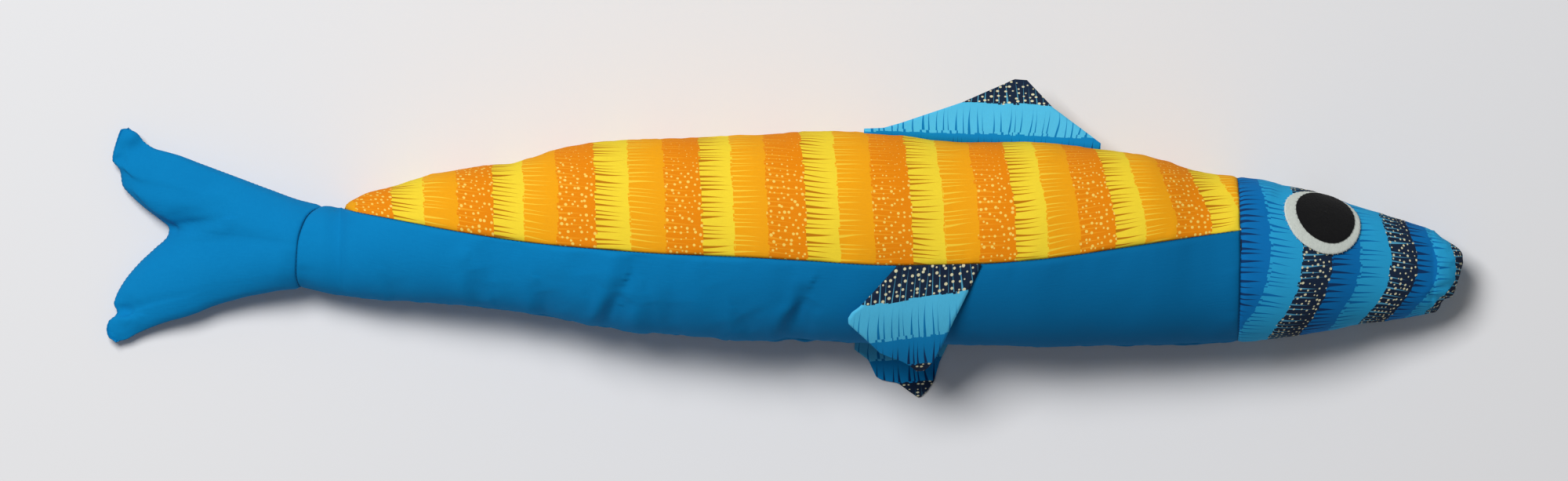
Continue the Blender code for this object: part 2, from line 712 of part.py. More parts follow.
def fins():
    start, end = hinge_of_dorsal_fin()
    droop = DORSAL_FIN_DROOP
    fin(Fin("dorsal_fin", start, end, Vector((0, math.cos(droop), -math.sin(droop))),
            Vector((0, 0, -1)), DORSAL_FIN_CURL, DORSAL_FIN_HEIGHT, DORSAL_FIN_BASE,
            DORSAL_EDGES, BLUE_PRINT))
    start, end = hinge_of_side_fin(RIGHT)
    middle = (start.x + end.x) / 2
    angle = side_seam_angle(middle)
    tangent = ring_point(middle, angle + 0.02, -FIN_THICKNESS) - ring_point(middle, angle, -FIN_THICKNESS)
    fin(Fin("right_fin", start, end, tangent, Vector((0, 0, -1)), RIGHT_FIN_CURL,
            SIDE_FIN_LENGTH, SIDE_FIN_SPAN, SIDE_EDGES, BLUE_PRINT))
    start, end = hinge_of_side_fin(LEFT)
    fin(Fin("left_fin", start, end, Vector((0, -1, 0)), Vector((0, 0, 1)), 0,
            SIDE_FIN_LENGTH, SIDE_FIN_SPAN, SIDE_EDGES, BLUE_PRINT))


def clear_scene():
    for made in list(bpy.data.objects):
        bpy.data.objects.remove(made, do_unlink=True)


clear_scene()
collection = bpy.data.collections.new("stuffed_fish")
bpy.context.scene.collection.children.link(collection)
torso_panels()
torso_filling()
torso_threads()
head_panels()
head_filling()
head_threads()
eyes()
tail_panels()
tail_filling()
tail_threads()
fins()
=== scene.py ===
# Stuffed patchwork fish: the cloth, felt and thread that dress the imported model, in metres.
# +X is the snout, +Y the back of the fish and +Z its right side, which is up.
import json
import math

import bpy
import numpy as np
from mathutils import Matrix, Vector


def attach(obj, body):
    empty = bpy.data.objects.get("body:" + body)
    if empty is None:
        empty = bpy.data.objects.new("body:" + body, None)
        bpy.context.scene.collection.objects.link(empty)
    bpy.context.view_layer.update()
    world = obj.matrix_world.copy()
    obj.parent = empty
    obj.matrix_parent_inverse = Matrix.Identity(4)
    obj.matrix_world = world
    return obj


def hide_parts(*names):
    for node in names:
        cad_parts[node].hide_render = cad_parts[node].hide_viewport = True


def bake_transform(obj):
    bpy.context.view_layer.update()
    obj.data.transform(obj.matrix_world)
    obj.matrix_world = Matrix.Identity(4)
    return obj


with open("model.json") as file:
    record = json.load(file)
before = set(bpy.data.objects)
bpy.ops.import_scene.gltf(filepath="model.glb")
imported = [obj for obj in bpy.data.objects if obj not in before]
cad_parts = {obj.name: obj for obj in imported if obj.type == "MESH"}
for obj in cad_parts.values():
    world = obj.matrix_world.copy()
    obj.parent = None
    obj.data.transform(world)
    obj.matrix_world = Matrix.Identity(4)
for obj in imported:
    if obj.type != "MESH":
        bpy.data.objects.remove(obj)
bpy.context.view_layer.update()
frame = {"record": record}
joints = {joint["name"]: joint for joint in frame["record"]["behaviour"]["joints"]}
mm = 0.001
rightSide, leftSide = 1, -1


def lineThrough(points, scale=mm):
    # a curve through the points that never overshoots them, for arrays of x
    xs, ys = np.array(points, float).T * scale
    steps = np.diff(xs)
    rises = np.diff(ys) / steps
    before, after = rises[:-1], rises[1:]
    turns = before * after <= 0
    mean = 2 * before * after / np.where(turns, 1, before + after)
    slopes = np.concatenate([rises[:1], np.where(turns, 0, mean), rises[-1:]])

    def at(x):
        x = np.clip(x, xs[0], xs[-1])
        i = np.clip(np.searchsorted(xs, x, side="right") - 1, 0, len(steps) - 1)
        h = steps[i]
        t = (x - xs[i]) / h
        start = ys[i] * (1 + 2 * t) + slopes[i] * h * t
        end = ys[i + 1] * (3 - 2 * t) - slopes[i + 1] * h * (1 - t)
        return start * (1 - t) ** 2 + end * t**2

    return at


def pathThrough(points):
    # the same for a path in the plane, run through from 0 to 1
    points = np.array(points, float)
    lengths = np.concatenate([[0], np.cumsum(np.hypot(*np.diff(points, axis=0).T))])
    share = lengths / lengths[-1]
    xs = lineThrough(list(zip(share, points[:, 0] * mm)), 1)
    ys = lineThrough(list(zip(share, points[:, 1] * mm)), 1)
    return lambda t: np.stack([xs(t), ys(t)], axis=-1)


def ease(t):
    t = np.clip(t, 0, 1)
    return t * t * (3 - 2 * t)


def lumps(x, y, seed):
    # soft random hills between -1 and 1, one to each unit of x and y
    table = np.random.default_rng(seed).uniform(-1, 1, (64, 64))
    i, j = np.floor(x).astype(int), np.floor(y).astype(int)
    s, t = ease(x - i), ease(y - j)
    corner = lambda a, b: table[(i + a) % 64, (j + b) % 64]
    low = corner(0, 0) * (1 - s) + corner(1, 0) * s
    high = corner(0, 1) * (1 - s) + corner(1, 1) * s
    return low * (1 - t) + high * t


# the fish lying on its side, in millimetres: outlines seen from above, and how far the middle is pressed
# towards the floor, droops and lies over the lower fin. Thickness is in thousandths of the depth
bodyShape = {
    "back": [
        (-330, 22.6), (-306, 23.1), (-295, 21.6), (-287, 26.5), (-275, 31.9), (-259, 36.5),
        (-228, 45.4), (-197, 50.1), (-181, 51.3), (-166, 55.2), (-150, 60.4), (-135, 63.5),
        (-119, 66), (-72, 67.9), (-10, 70.3), (20, 71.9), (45, 71.4), (78, 68.6), (120, 65.8),
        (166, 65.3), (187, 63), (210, 60.8), (239, 56.8), (254, 52.6), (270, 47), (285, 43.8),
        (300, 42.4), (317, 40), (332, 36), (348, 32.9), (363, 28.8), (379, 23.3), (394, 18.9),
        (410, 13.7), (426, 8.4), (430, 6.8),
    ],
    "belly": [
        (-330, -31.4), (-321, -31.9), (-306, -35), (-275, -39.2), (-228, -41.8), (-181, -46.4),
        (-150, -51.1), (-119, -57.3), (-103, -59.9), (-72, -62.5), (-41, -64.4), (-10, -66.7),
        (5, -65.8), (37, -67.7), (78, -68.5), (120, -69), (166, -70.2), (210, -69.8),
        (254, -69.2), (285, -67.9), (300, -67.3), (317, -66.1), (332, -64.6), (348, -62),
        (363, -59.4), (379, -55.8), (394, -53.7), (410, -51.6), (426, -49), (430, -47.8),
    ],
    "sideSeam": [
        (-293, 22), (-284, 19.6), (-265, 15.8), (-246, 11.9), (-225, 7.7), (-201, 3.4),
        (-175, -0.6), (-149, -3.6), (-115, -6.5), (-80, -9), (-26, -11.3), (17, -13.8),
        (63, -16.5), (99, -16.9), (131, -15.6), (161, -13.3), (188, -10.1), (218, -5.6),
        (280, 4), (300, 7), (330, 12),
    ],
    "thickness": [(-330, 880), (300, 880), (379, 860), (430, 760)],
    "pressed": [
        (-330, -1.6), (-308, -1.6), (-270, 1), (-150, 4), (0, 5), (200, 4.5), (260, 1.5), (294, -1.6),
    ],
    "droop": [(294, 0), (322, 0.4), (355, 4.5), (400, 13), (430, 18)],
    "overFin": [(14, 0), (32, 2.7), (144, 2.7), (164, 0)],
    "nose": [
        (-48.3, 431.4), (-47.2, 433.4), (-44.5, 435.6), (-41.5, 437.2), (-38.5, 440), (-36.6, 443.8),
        (-33, 445.8), (-28, 447), (-22, 449), (-15, 450.8), (-10, 450.9), (-6.5, 449.5), (-3.6, 446.6),
        (-0.3, 441), (3, 436.2), (7, 431.6),
    ],
    "headSeamX": 300 * mm,
    "noseX": 430 * mm,
    "levelX": 294 * mm,  # the middle's height is the same from here to the nose, but for the droop
    "floorRounding": 1.6 * mm,
    "besideFin": 3 * mm,
    "finStep": 18 * mm,
}
backLine, bellyLine, sideLine, thicknessLine, pressedLine, droopLine, overFinLine, noseLine = (
    lineThrough(bodyShape[name])
    for name in ("back", "belly", "sideSeam", "thickness", "pressed", "droop", "overFin", "nose")
)


def sectionAt(x):
    # the middle's y, half the depth, half the thickness and the middle's z
    depth = (backLine(x) - bellyLine(x)) / 2
    at = np.minimum(x, bodyShape["levelX"])
    middleZ = (backLine(at) - bellyLine(at)) / 2 * thicknessLine(at) - pressedLine(at) - droopLine(x)
    return (backLine(x) + bellyLine(x)) / 2, depth, depth * thicknessLine(x), middleZ


def restedOn(floor, z):
    over = z - floor
    return floor + (over + np.sqrt(over**2 + bodyShape["floorRounding"] ** 2)) / 2


def onFloor(x, y, z):
    # the cloth flattens where it meets the floor, or the fin that it lies on
    fromFin = y - sideLine(x) - bodyShape["besideFin"]
    return restedOn(overFinLine(x) * (1 - ease(fromFin / bodyShape["finStep"])), z)


def bodyPoint(x, angle, side, turned=None):
    # angle runs from the back seam over one side to the belly seam, turned from there round the nose
    middleY, depth, thickness, middleZ = sectionAt(x)
    y = middleY + depth * np.cos(angle)
    reach = thickness * np.sin(angle)
    if turned is not None:
        x = x + (noseLine(y) - bodyShape["noseX"]) * np.sin(turned)
        reach = reach * np.cos(turned)
    z = middleZ + side * reach
    return np.stack([x + 0 * angle, y + 0 * x, onFloor(x, y, z)], axis=-1)


def sideAngle(x):
    middleY, depth, _, _ = sectionAt(x)
    return np.arccos(np.clip((sideLine(x) - middleY) / depth, -1, 1))


def outward(grid, side):
    # the way out of the cloth at each point of a panel
    along, across = np.gradient(grid, axis=0), np.gradient(grid, axis=1)
    normal = np.cross(along, across)
    normal /= np.maximum(np.linalg.norm(normal, axis=-1, keepdims=True), 1e-12)
    return normal if (normal[..., 2] * side).mean() > 0 else -normal


def runOf(grid, axis):
    # how far each point is along its row or column
    steps = np.linalg.norm(np.diff(grid, axis=axis), axis=-1)
    first = np.zeros_like(np.take(steps, [0], axis=axis))
    return np.cumsum(np.concatenate([first, steps], axis=axis), axis=axis)


fold = {"waver": 0.25, "waverPieces": 3, "lip": 0.45, "lipAt": 1.6, "endSoftness": 0.06}


def foldDepth(grid, folds):
    # folds are (x, y) to (x, y), half width and depth, in millimetres, seen from above
    total = np.zeros(grid.shape[:2])
    for start, end, width, depth in folds:
        start, end = np.array(start) * mm, np.array(end) * mm
        way = end - start
        share = np.clip(((grid[..., :2] - start) @ way) / (way @ way), 0, 1)
        off = grid[..., :2] - (start + share[..., None] * way)
        bend = 1 + fold["waver"] * lumps(share * fold["waverPieces"], share * 0 + depth * 7, 5)
        lean = off[..., 0] * way[1] - off[..., 1] * way[0]
        distance = np.hypot(*np.moveaxis(off, -1, 0)) / (width * mm * bend)
        lip = fold["lip"] * np.exp(-((distance - fold["lipAt"]) ** 2)) * np.sign(lean)
        ends = np.clip(share, fold["endSoftness"], 1 - fold["endSoftness"])
        total += depth * mm * (np.exp(-(distance**2)) - lip) * np.sin(math.pi * ends) ** 0.5
    return total


def addObject(name, data):
    made = bpy.data.objects.new(name, data)
    bpy.context.scene.collection.objects.link(made)
    return made


def addMesh(name, points, faces, uvs=None):
    mesh = bpy.data.meshes.new(name)
    mesh.from_pydata(points.tolist(), [], faces)
    if uvs is not None:
        layer = mesh.uv_layers.new(name="cloth")
        loops = np.empty(len(mesh.loops), int)
        mesh.loops.foreach_get("vertex_index", loops)
        layer.data.foreach_set("uv", uvs[loops].astype(np.float32).ravel())
    mesh.shade_smooth()
    return addObject(name, mesh)


def gridFaces(rows, columns, closed=False, start=0, flip=False):
    last = columns if closed else columns - 1
    i, j = np.meshgrid(np.arange(rows - 1), np.arange(last), indexing="ij")
    k = (j + 1) % columns
    corners = [i * columns + j, i * columns + k, (i + 1) * columns + k, (i + 1) * columns + j]
    if flip:
        corners.reverse()
    return start + np.stack([c.ravel() for c in corners], axis=-1)


def closedShell(name, outer, inner, uv, flip):
    # two faces of the same rows and columns, and a wall round their edge
    rows, columns = outer.shape[:2]
    count = rows * columns
    index = np.arange(count).reshape(rows, columns)
    rim = np.concatenate([index[0, :-1], index[:-1, -1], index[-1, :0:-1], index[:0:-1, 0]])
    after = np.roll(rim, -1)
    wall = np.stack([rim, after, after + count, rim + count], axis=-1)
    faces = np.concatenate([
        gridFaces(rows, columns, flip=flip),
        gridFaces(rows, columns, start=count, flip=not flip),
        wall if flip else wall[:, ::-1],
    ])
    points = np.concatenate([outer.reshape(-1, 3), inner.reshape(-1, 3)])
    return addMesh(name, points, faces.tolist(), np.concatenate([uv.reshape(-1, 2)] * 2))


cloth = {
    "thickness": 0.9 * mm,
    "grooveDepth": 1.1 * mm, "grooveWidth": 1.5 * mm, "heldWidth": 2.2 * mm,
    "puckerPitch": 9 * mm, "puckerDepth": 0.55 * mm, "puckerReach": 9 * mm, "puckerLength": 30 * mm,
    "finePuckers": 2.3, "finePuckerShare": 0.6,
    "lumpSize": 42 * mm, "lumpHeight": 0.9 * mm,
    "ripple": (16 * mm, 22 * mm), "rippleHeight": 0.3 * mm,
    "aboveFloor": 0.05 * mm,
}


def clothShell(name, grid, uv, side):
    # a panel with its pattern laid out in metres on the UV map
    normal = outward(grid, side)
    middle = grid.shape[1] // 2
    along, across = grid[1, middle] - grid[0, middle], grid[0, middle + 1] - grid[0, middle]
    flip = np.dot(np.cross(across, along), normal[0, middle]) < 0
    return closedShell(name, grid, grid - normal * cloth["thickness"], uv, flip)


def sewn(grid, side, seed, edges=(1, 1, 1, 1), folds=(), wrinkles=None):
    # pulls a panel in at its seams, puckers it there and gives it the filling's lumps.
    # edges are the strengths at the first and last row, then at the first and last column
    across, along = runOf(grid, 1), runOf(grid, 0)
    fromEdges = [along, along[-1:] - along, across, across[:, -1:] - across]
    alongEdges = [across, across, along, along]
    move = lumps(along / cloth["lumpSize"], across / cloth["lumpSize"], seed) * cloth["lumpHeight"]
    move += lumps(along / cloth["ripple"][0], across / cloth["ripple"][1], seed + 1) * cloth["rippleHeight"]
    groove, held = 0.0, 1.0
    for i, (distance, run, strength) in enumerate(zip(fromEdges, alongEdges, edges)):
        near = np.exp(-distance / cloth["puckerReach"])
        steps, out = run / cloth["puckerPitch"], distance / cloth["puckerLength"] + i
        pucker = lumps(steps, out, seed + 10 + i)
        pucker += cloth["finePuckerShare"] * lumps(steps * cloth["finePuckers"], out, seed + 20 + i)
        move += strength * pucker * cloth["puckerDepth"] * near
        groove += strength * cloth["grooveDepth"] * np.exp(-((distance / cloth["grooveWidth"]) ** 1.3))
        held = held * (1 - (strength > 0) * np.exp(-((distance / cloth["heldWidth"]) ** 2)))
    if wrinkles is not None:
        move += wrinkles(grid, along, across)
    move = (move - foldDepth(grid, folds)) * held - np.minimum(groove, cloth["grooveDepth"])
    moved = grid + outward(grid, side) * move[..., None]
    moved[..., 2] = np.maximum(moved[..., 2], cloth["aboveFloor"])
    return moved


def srgb(red, green, blue):
    # a colour as screens give it, from 0 to 255, in the renderer's own linear values
    shares = (red / 255, green / 255, blue / 255)
    return tuple(c / 12.92 if c <= 0.04045 else ((c + 0.055) / 1.055) ** 2.4 for c in shares) + (1,)


class Wiring:
    # short names for the nodes of one material
    def __init__(self, name):
        self.material = bpy.data.materials.new(name)
        self.material.use_nodes = True
        self.tree = self.material.node_tree
        self.shader = self.tree.nodes["Principled BSDF"]

    def node(self, kind, **settings):
        made = self.tree.nodes.new(kind)
        for key, value in settings.items():
            setattr(made, key, value)
        return made

    def put(self, value, socket):
        if hasattr(value, "is_output"):
            self.tree.links.new(value, socket)
        else:
            socket.default_value = value

    def math(self, operation, *values, clamp=False):
        made = self.node("ShaderNodeMath", operation=operation, use_clamp=clamp)
        for value, socket in zip(values, made.inputs):
            self.put(value, socket)
        return made.outputs[0]

    def plus(self, a, b):
        return self.math("ADD", a, b)

    def minus(self, a, b):
        return self.math("SUBTRACT", a, b)

    def times(self, a, b):
        return self.math("MULTIPLY", a, b)

    def mix(self, share, low, high):
        made = self.node("ShaderNodeMix", data_type="RGBA")
        for value, key in ((share, 0), (low, 6), (high, 7)):
            self.put(value, made.inputs[key])
        return made.outputs[2]

    def between(self, share, low, high):
        made = self.node("ShaderNodeMix", data_type="FLOAT")
        for value, key in ((share, 0), (low, 2), (high, 3)):
            self.put(value, made.inputs[key])
        return made.outputs[0]

    def fade(self, value, start, end, before=0.0, after=1.0):
        made = self.node("ShaderNodeMapRange", interpolation_type="SMOOTHSTEP")
        self.put(value, made.inputs["Value"])
        for number, key in ((start, "From Min"), (end, "From Max"), (before, "To Min"), (after, "To Max")):
            self.put(number, made.inputs[key])
        return made.outputs[0]

    def vector(self, x, y, z=0.0):
        made = self.node("ShaderNodeCombineXYZ")
        for value, socket in zip((x, y, z), made.inputs):
            self.put(value, socket)
        return made.outputs[0]

    def noise(self, vector, size, detail=2.0):
        made = self.node("ShaderNodeTexNoise")
        self.put(vector, made.inputs["Vector"])
        made.inputs["Scale"].default_value = 1 / size
        made.inputs["Detail"].default_value = detail
        return made.outputs["Fac"]

    def random(self, vector):
        made = self.node("ShaderNodeTexWhiteNoise", noise_dimensions="2D")
        self.put(vector, made.inputs["Vector"])
        return made.outputs["Value"]

    def clothUv(self):
        parts = self.node("ShaderNodeSeparateXYZ")
        self.put(self.node("ShaderNodeUVMap", uv_map="cloth").outputs[0], parts.inputs[0])
        return parts.outputs[0], parts.outputs[1]

    def bump(self, height, depth):
        made = self.node("ShaderNodeBump")
        self.put(height, made.inputs["Height"])
        made.inputs["Distance"].default_value = depth
        made.inputs["Strength"].default_value = 1.0
        self.put(made.outputs[0], self.shader.inputs["Normal"])

    def finish(self, colour, roughness, sheen):
        self.put(colour, self.shader.inputs["Base Color"])
        self.shader.inputs["Roughness"].default_value = roughness
        self.shader.inputs["Sheen Weight"].default_value = sheen
        self.shader.inputs["Sheen Roughness"].default_value = 0.5
        self.shader.inputs["Specular IOR Level"].default_value = 0.08
        return self.material


weave = {"pitch": 0.55 * mm, "depth": 0.05 * mm, "slub": 2.0, "slubSize": 1.1 * mm, "fade": 0.10}


def weaveHeight(wiring, u, v):
    # over and under threads of plain cotton, with a slub here and there
    warp = wiring.math("SINE", wiring.times(u, math.tau / weave["pitch"]))
    weft = wiring.math("SINE", wiring.times(v, math.tau / weave["pitch"]))
    slub = wiring.noise(wiring.vector(wiring.times(u, 0.15), v), weave["slubSize"], 1)
    return wiring.plus(wiring.times(wiring.times(warp, weft), 0.5), wiring.times(slub, weave["slub"]))


plainLook = {
    "colour": srgb(8, 132, 194), "shade": srgb(2, 118, 180), "deep": srgb(4, 104, 158),
    "deepFrom": -200 * mm, "deepTo": 200 * mm, "patchSize": 35 * mm, "grainSize": 1.4 * mm, "stretch": 0.3,
    "roughness": 0.88,
}


def plainCotton(name, look):
    # the cloth is a deeper blue towards the head, on Object coordinates
    wiring = Wiring(name)
    u, v = wiring.clothUv()
    place = wiring.node("ShaderNodeSeparateXYZ")
    wiring.put(wiring.node("ShaderNodeTexCoord").outputs["Object"], place.inputs[0])
    deeper = wiring.fade(place.outputs[0], look["deepFrom"], look["deepTo"])
    patches = wiring.noise(wiring.vector(u, v), look["patchSize"], 3)
    warp = wiring.noise(wiring.vector(u, wiring.times(v, look["stretch"])), look["grainSize"], 2)
    weft = wiring.noise(wiring.vector(wiring.times(u, look["stretch"]), v), look["grainSize"], 2)
    share = wiring.plus(wiring.times(patches, 0.5), wiring.times(wiring.plus(warp, weft), 0.3))
    wiring.bump(weaveHeight(wiring, u, v), weave["depth"])
    colour = wiring.mix(deeper, wiring.mix(share, look["shade"], look["colour"]), look["deep"])
    return wiring.finish(colour, look["roughness"], 0.0)


# what the two printed cloths share: how their needles, bands and dots stray
printing = {
    "strayStretch": 0.6, "straySize": 30 * mm, "bandStep": 0.024, "bandShift": 0.01,
    "swayRows": 2.2, "sway": 1.5, "rowDriftSize": 45 * mm, "rowDrift": 1.6,
    "longest": 1.08, "thinnest": 0.7, "widthSpread": 0.6, "placeSpread": 0.3, "tilt": 0.5, "edge": 16,
    "dotShuffle": 0.7, "smallestDot": 0.55, "dotSpread": 0.55, "dotEdge": 18,
    "faintWidth": 30 * mm, "faintDot": 0.4, "wornSize": 24 * mm,
    "grainSize": 1.2 * mm, "grainStretch": 0.4, "grain": 0.10, "grainColour": srgb(40, 40, 50),
    "roughness": 0.85,
}
orangeLook = {
    "period": 68.6 * mm, "dark": 0.36, "middle": 0.67, "wobble": 2.6 * mm,
    "pitch": 3.7 * mm, "reach": 0.8, "needleWidth": 0.22, "thin": 0.75,
    "darkColour": srgb(241, 139, 0), "middleColour": srgb(252, 222, 54), "lightColour": srgb(250, 170, 14),
    "darkNeedle": srgb(250, 164, 30), "middleNeedle": srgb(192, 120, 4), "lightNeedle": srgb(255, 212, 60),
    "dotColour": srgb(255, 218, 104), "dotSpacing": 4.3 * mm, "dotSize": 0.25, "faintFrom": 48 * mm,
    "wornColour": srgb(200, 140, 60),
}
blueLook = {
    "period": 60 * mm, "dark": 0.335, "middle": 0.645, "wobble": 2.6 * mm,
    "pitch": 4.3 * mm, "reach": 0.74, "needleWidth": 0.26, "thin": 0.6,
    "darkColour": srgb(24, 34, 56), "middleColour": srgb(0, 114, 186), "lightColour": srgb(40, 168, 222),
    "darkNeedle": srgb(90, 168, 204), "middleNeedle": srgb(6, 50, 100), "lightNeedle": srgb(0, 108, 178),
    "dotColour": srgb(232, 226, 186), "dotSpacing": 3.9 * mm, "dotSize": 0.235, "faintFrom": 900 * mm,
    "wornColour": srgb(60, 110, 150),
}
# the fins' print is the head's print at a larger size; its ground and needle colours are painted lighter than
# the head's, partly a painted highlight making up for the shade the fins lie in
finLook = blueLook | {
    "period": 84 * mm, "pitch": 4.7 * mm, "reach": 0.85, "needleWidth": 0.22, "thin": 0.42,
    "middleColour": srgb(6, 138, 204), "lightColour": srgb(86, 200, 243),
    "darkNeedle": srgb(96, 184, 218), "lightNeedle": srgb(0, 126, 192),
    "dotSpacing": 4.5 * mm, "dotSize": 0.25,
}


def printedDots(wiring, u, v, look):
    # round dots of several sizes, fainter high up on the cloth
    dots = wiring.node("ShaderNodeTexVoronoi", voronoi_dimensions="2D")
    wiring.put(wiring.vector(u, v), dots.inputs["Vector"])
    dots.inputs["Scale"].default_value = 1 / look["dotSpacing"]
    dots.inputs["Randomness"].default_value = printing["dotShuffle"]
    chance = wiring.random(dots.outputs["Position"])
    size = wiring.plus(printing["smallestDot"], wiring.times(chance, printing["dotSpread"]))
    size = wiring.times(size, look["dotSize"])
    fading = (look["faintFrom"], look["faintFrom"] + printing["faintWidth"], 1.0, printing["faintDot"])
    size = wiring.times(size, wiring.fade(v, *fading))
    inside = wiring.minus(size, dots.outputs["Distance"])
    return wiring.math("MULTIPLY", inside, printing["dotEdge"], clamp=True)


def printedCotton(name, look):
    # three bands that repeat along the cloth. Each sends needles of its colour into the next
    wiring = Wiring(name)
    minus, times, plus = wiring.minus, wiring.times, wiring.plus
    noise, vector = wiring.noise, wiring.vector
    whole = lambda value: wiring.math("FLOOR", value)
    u, v = wiring.clothUv()
    stray = minus(noise(vector(times(u, printing["strayStretch"]), v), printing["straySize"], 1), 0.5)
    place = wiring.math("DIVIDE", plus(u, times(stray, look["wobble"])), look["period"])
    roughBand = whole(times(minus(place, printing["bandShift"]), 3))
    swayRow = wiring.math("DIVIDE", v, look["pitch"] * printing["swayRows"])
    sway = times(noise(vector(roughBand, swayRow), 1, 0), printing["sway"])
    drift = times(noise(vector(u, v), printing["rowDriftSize"], 0), printing["rowDrift"])
    needles = plus(wiring.math("DIVIDE", v, look["pitch"]), plus(sway, drift))
    row = whole(needles)
    step = minus(wiring.random(vector(row, roughBand)), 0.5)
    turn = plus(place, times(step, printing["bandStep"]))
    at = minus(turn, whole(turn))
    pastDark = wiring.math("GREATER_THAN", at, look["dark"])
    pastMiddle = wiring.math("GREATER_THAN", at, look["middle"])

    def pick(dark, middle, light, how=wiring.between):
        return how(pastMiddle, how(pastDark, dark, middle), light)

    def chance(shift):
        return wiring.random(vector(plus(row, shift), plus(pick(0.0, 1.0, 2.0), times(whole(turn), 5))))

    start = pick(0.0, look["dark"], look["middle"])
    width = pick(look["dark"], look["middle"] - look["dark"], 1 - look["middle"])
    into = wiring.math("DIVIDE", minus(at, start), width)
    reach = plus(look["reach"], times(chance(71.3), printing["longest"] - look["reach"]))
    taper = minus(1, wiring.math("DIVIDE", into, reach))
    fat = plus(printing["thinnest"], times(chance(17.7), printing["widthSpread"]))
    halfWidth = times(times(times(taper, fat), pick(look["thin"], 1.0, 0.75)), look["needleWidth"])
    tilt = times(minus(chance(43.1), 0.5), times(into, printing["tilt"]))
    middle = plus(0.5, plus(times(minus(chance(5.9), 0.5), printing["placeSpread"]), tilt))
    offMiddle = wiring.math("ABSOLUTE", minus(minus(needles, row), middle))
    needle = wiring.math("MULTIPLY", minus(halfWidth, offMiddle), printing["edge"], clamp=True)
    ground = pick(look["darkColour"], look["middleColour"], look["lightColour"], wiring.mix)
    needleColour = pick(look["darkNeedle"], look["middleNeedle"], look["lightNeedle"], wiring.mix)
    colour = wiring.mix(needle, ground, needleColour)
    shown = times(printedDots(wiring, u, v, look), minus(1, pastDark))
    colour = wiring.mix(shown, colour, look["dotColour"])
    worn = times(noise(vector(u, v), printing["wornSize"], 3), weave["fade"])
    colour = wiring.mix(worn, colour, look["wornColour"])
    grain = noise(vector(times(u, printing["grainStretch"]), v), printing["grainSize"], 2)
    colour = wiring.mix(times(grain, printing["grain"]), colour, printing["grainColour"])
    wiring.bump(weaveHeight(wiring, u, v), weave["depth"])
    return wiring.finish(colour, printing["roughness"], 0.0)


feltLook = {
    "mattedSize": 1.6 * mm, "fibreSize": 0.35 * mm, "depth": 0.35 * mm, "roughness": 0.95, "sheen": 0.05,
}


def felt(name, colour, shade):
    wiring = Wiring(name)
    place = wiring.node("ShaderNodeTexCoord").outputs["Object"]
    matted = wiring.noise(place, feltLook["mattedSize"], 6)
    fibres = wiring.noise(place, feltLook["fibreSize"], 3)
    share = wiring.math("ADD", wiring.times(matted, 0.6), wiring.times(fibres, 0.5), clamp=True)
    wiring.bump(wiring.plus(matted, wiring.times(fibres, 0.4)), feltLook["depth"])
    return wiring.finish(wiring.mix(share, shade, colour), feltLook["roughness"], feltLook["sheen"])


threadLook = {"twistSize": 0.25 * mm, "depth": 0.06 * mm, "shade": 0.5, "roughness": 0.6}


def sewingThread(name, colour):
    wiring = Wiring(name)
    place = wiring.node("ShaderNodeTexCoord").outputs["Object"]
    twist = wiring.noise(place, threadLook["twistSize"], 2)
    wiring.bump(twist, threadLook["depth"])
    shade = tuple(threadLook["shade"] * c for c in colour[:3]) + (1,)
    return wiring.finish(wiring.mix(wiring.times(twist, 0.6), colour, shade), threadLook["roughness"], 0.0)


print("materials")
plainBlue = plainCotton("plainBlueCotton", plainLook)
orangePrint = printedCotton("orangePrint", orangeLook)
headPrint = printedCotton("bluePrint", blueLook)
finPrint = printedCotton("bluePrintFins", finLook)
whiteFelt = felt("whiteFelt", srgb(222, 228, 220), srgb(188, 196, 190))
blackFelt = felt("blackFelt", srgb(30, 30, 31), srgb(12, 12, 13))
blueThread = sewingThread("blueThread", srgb(6, 62, 104))
orangeThread = sewingThread("orangeThread", srgb(206, 120, 10))
whiteThread = sewingThread("whiteThread", srgb(232, 234, 228))
blackThread = sewingThread("blackThread", srgb(22, 22, 24))


stitch = {
    "pitch": 3.0 * mm, "length": 2.2 * mm, "thread": 0.42 * mm, "sides": 6, "loops": 5,
    "shortest": 0.85, "longest": 1.12, "seed": 4,
}


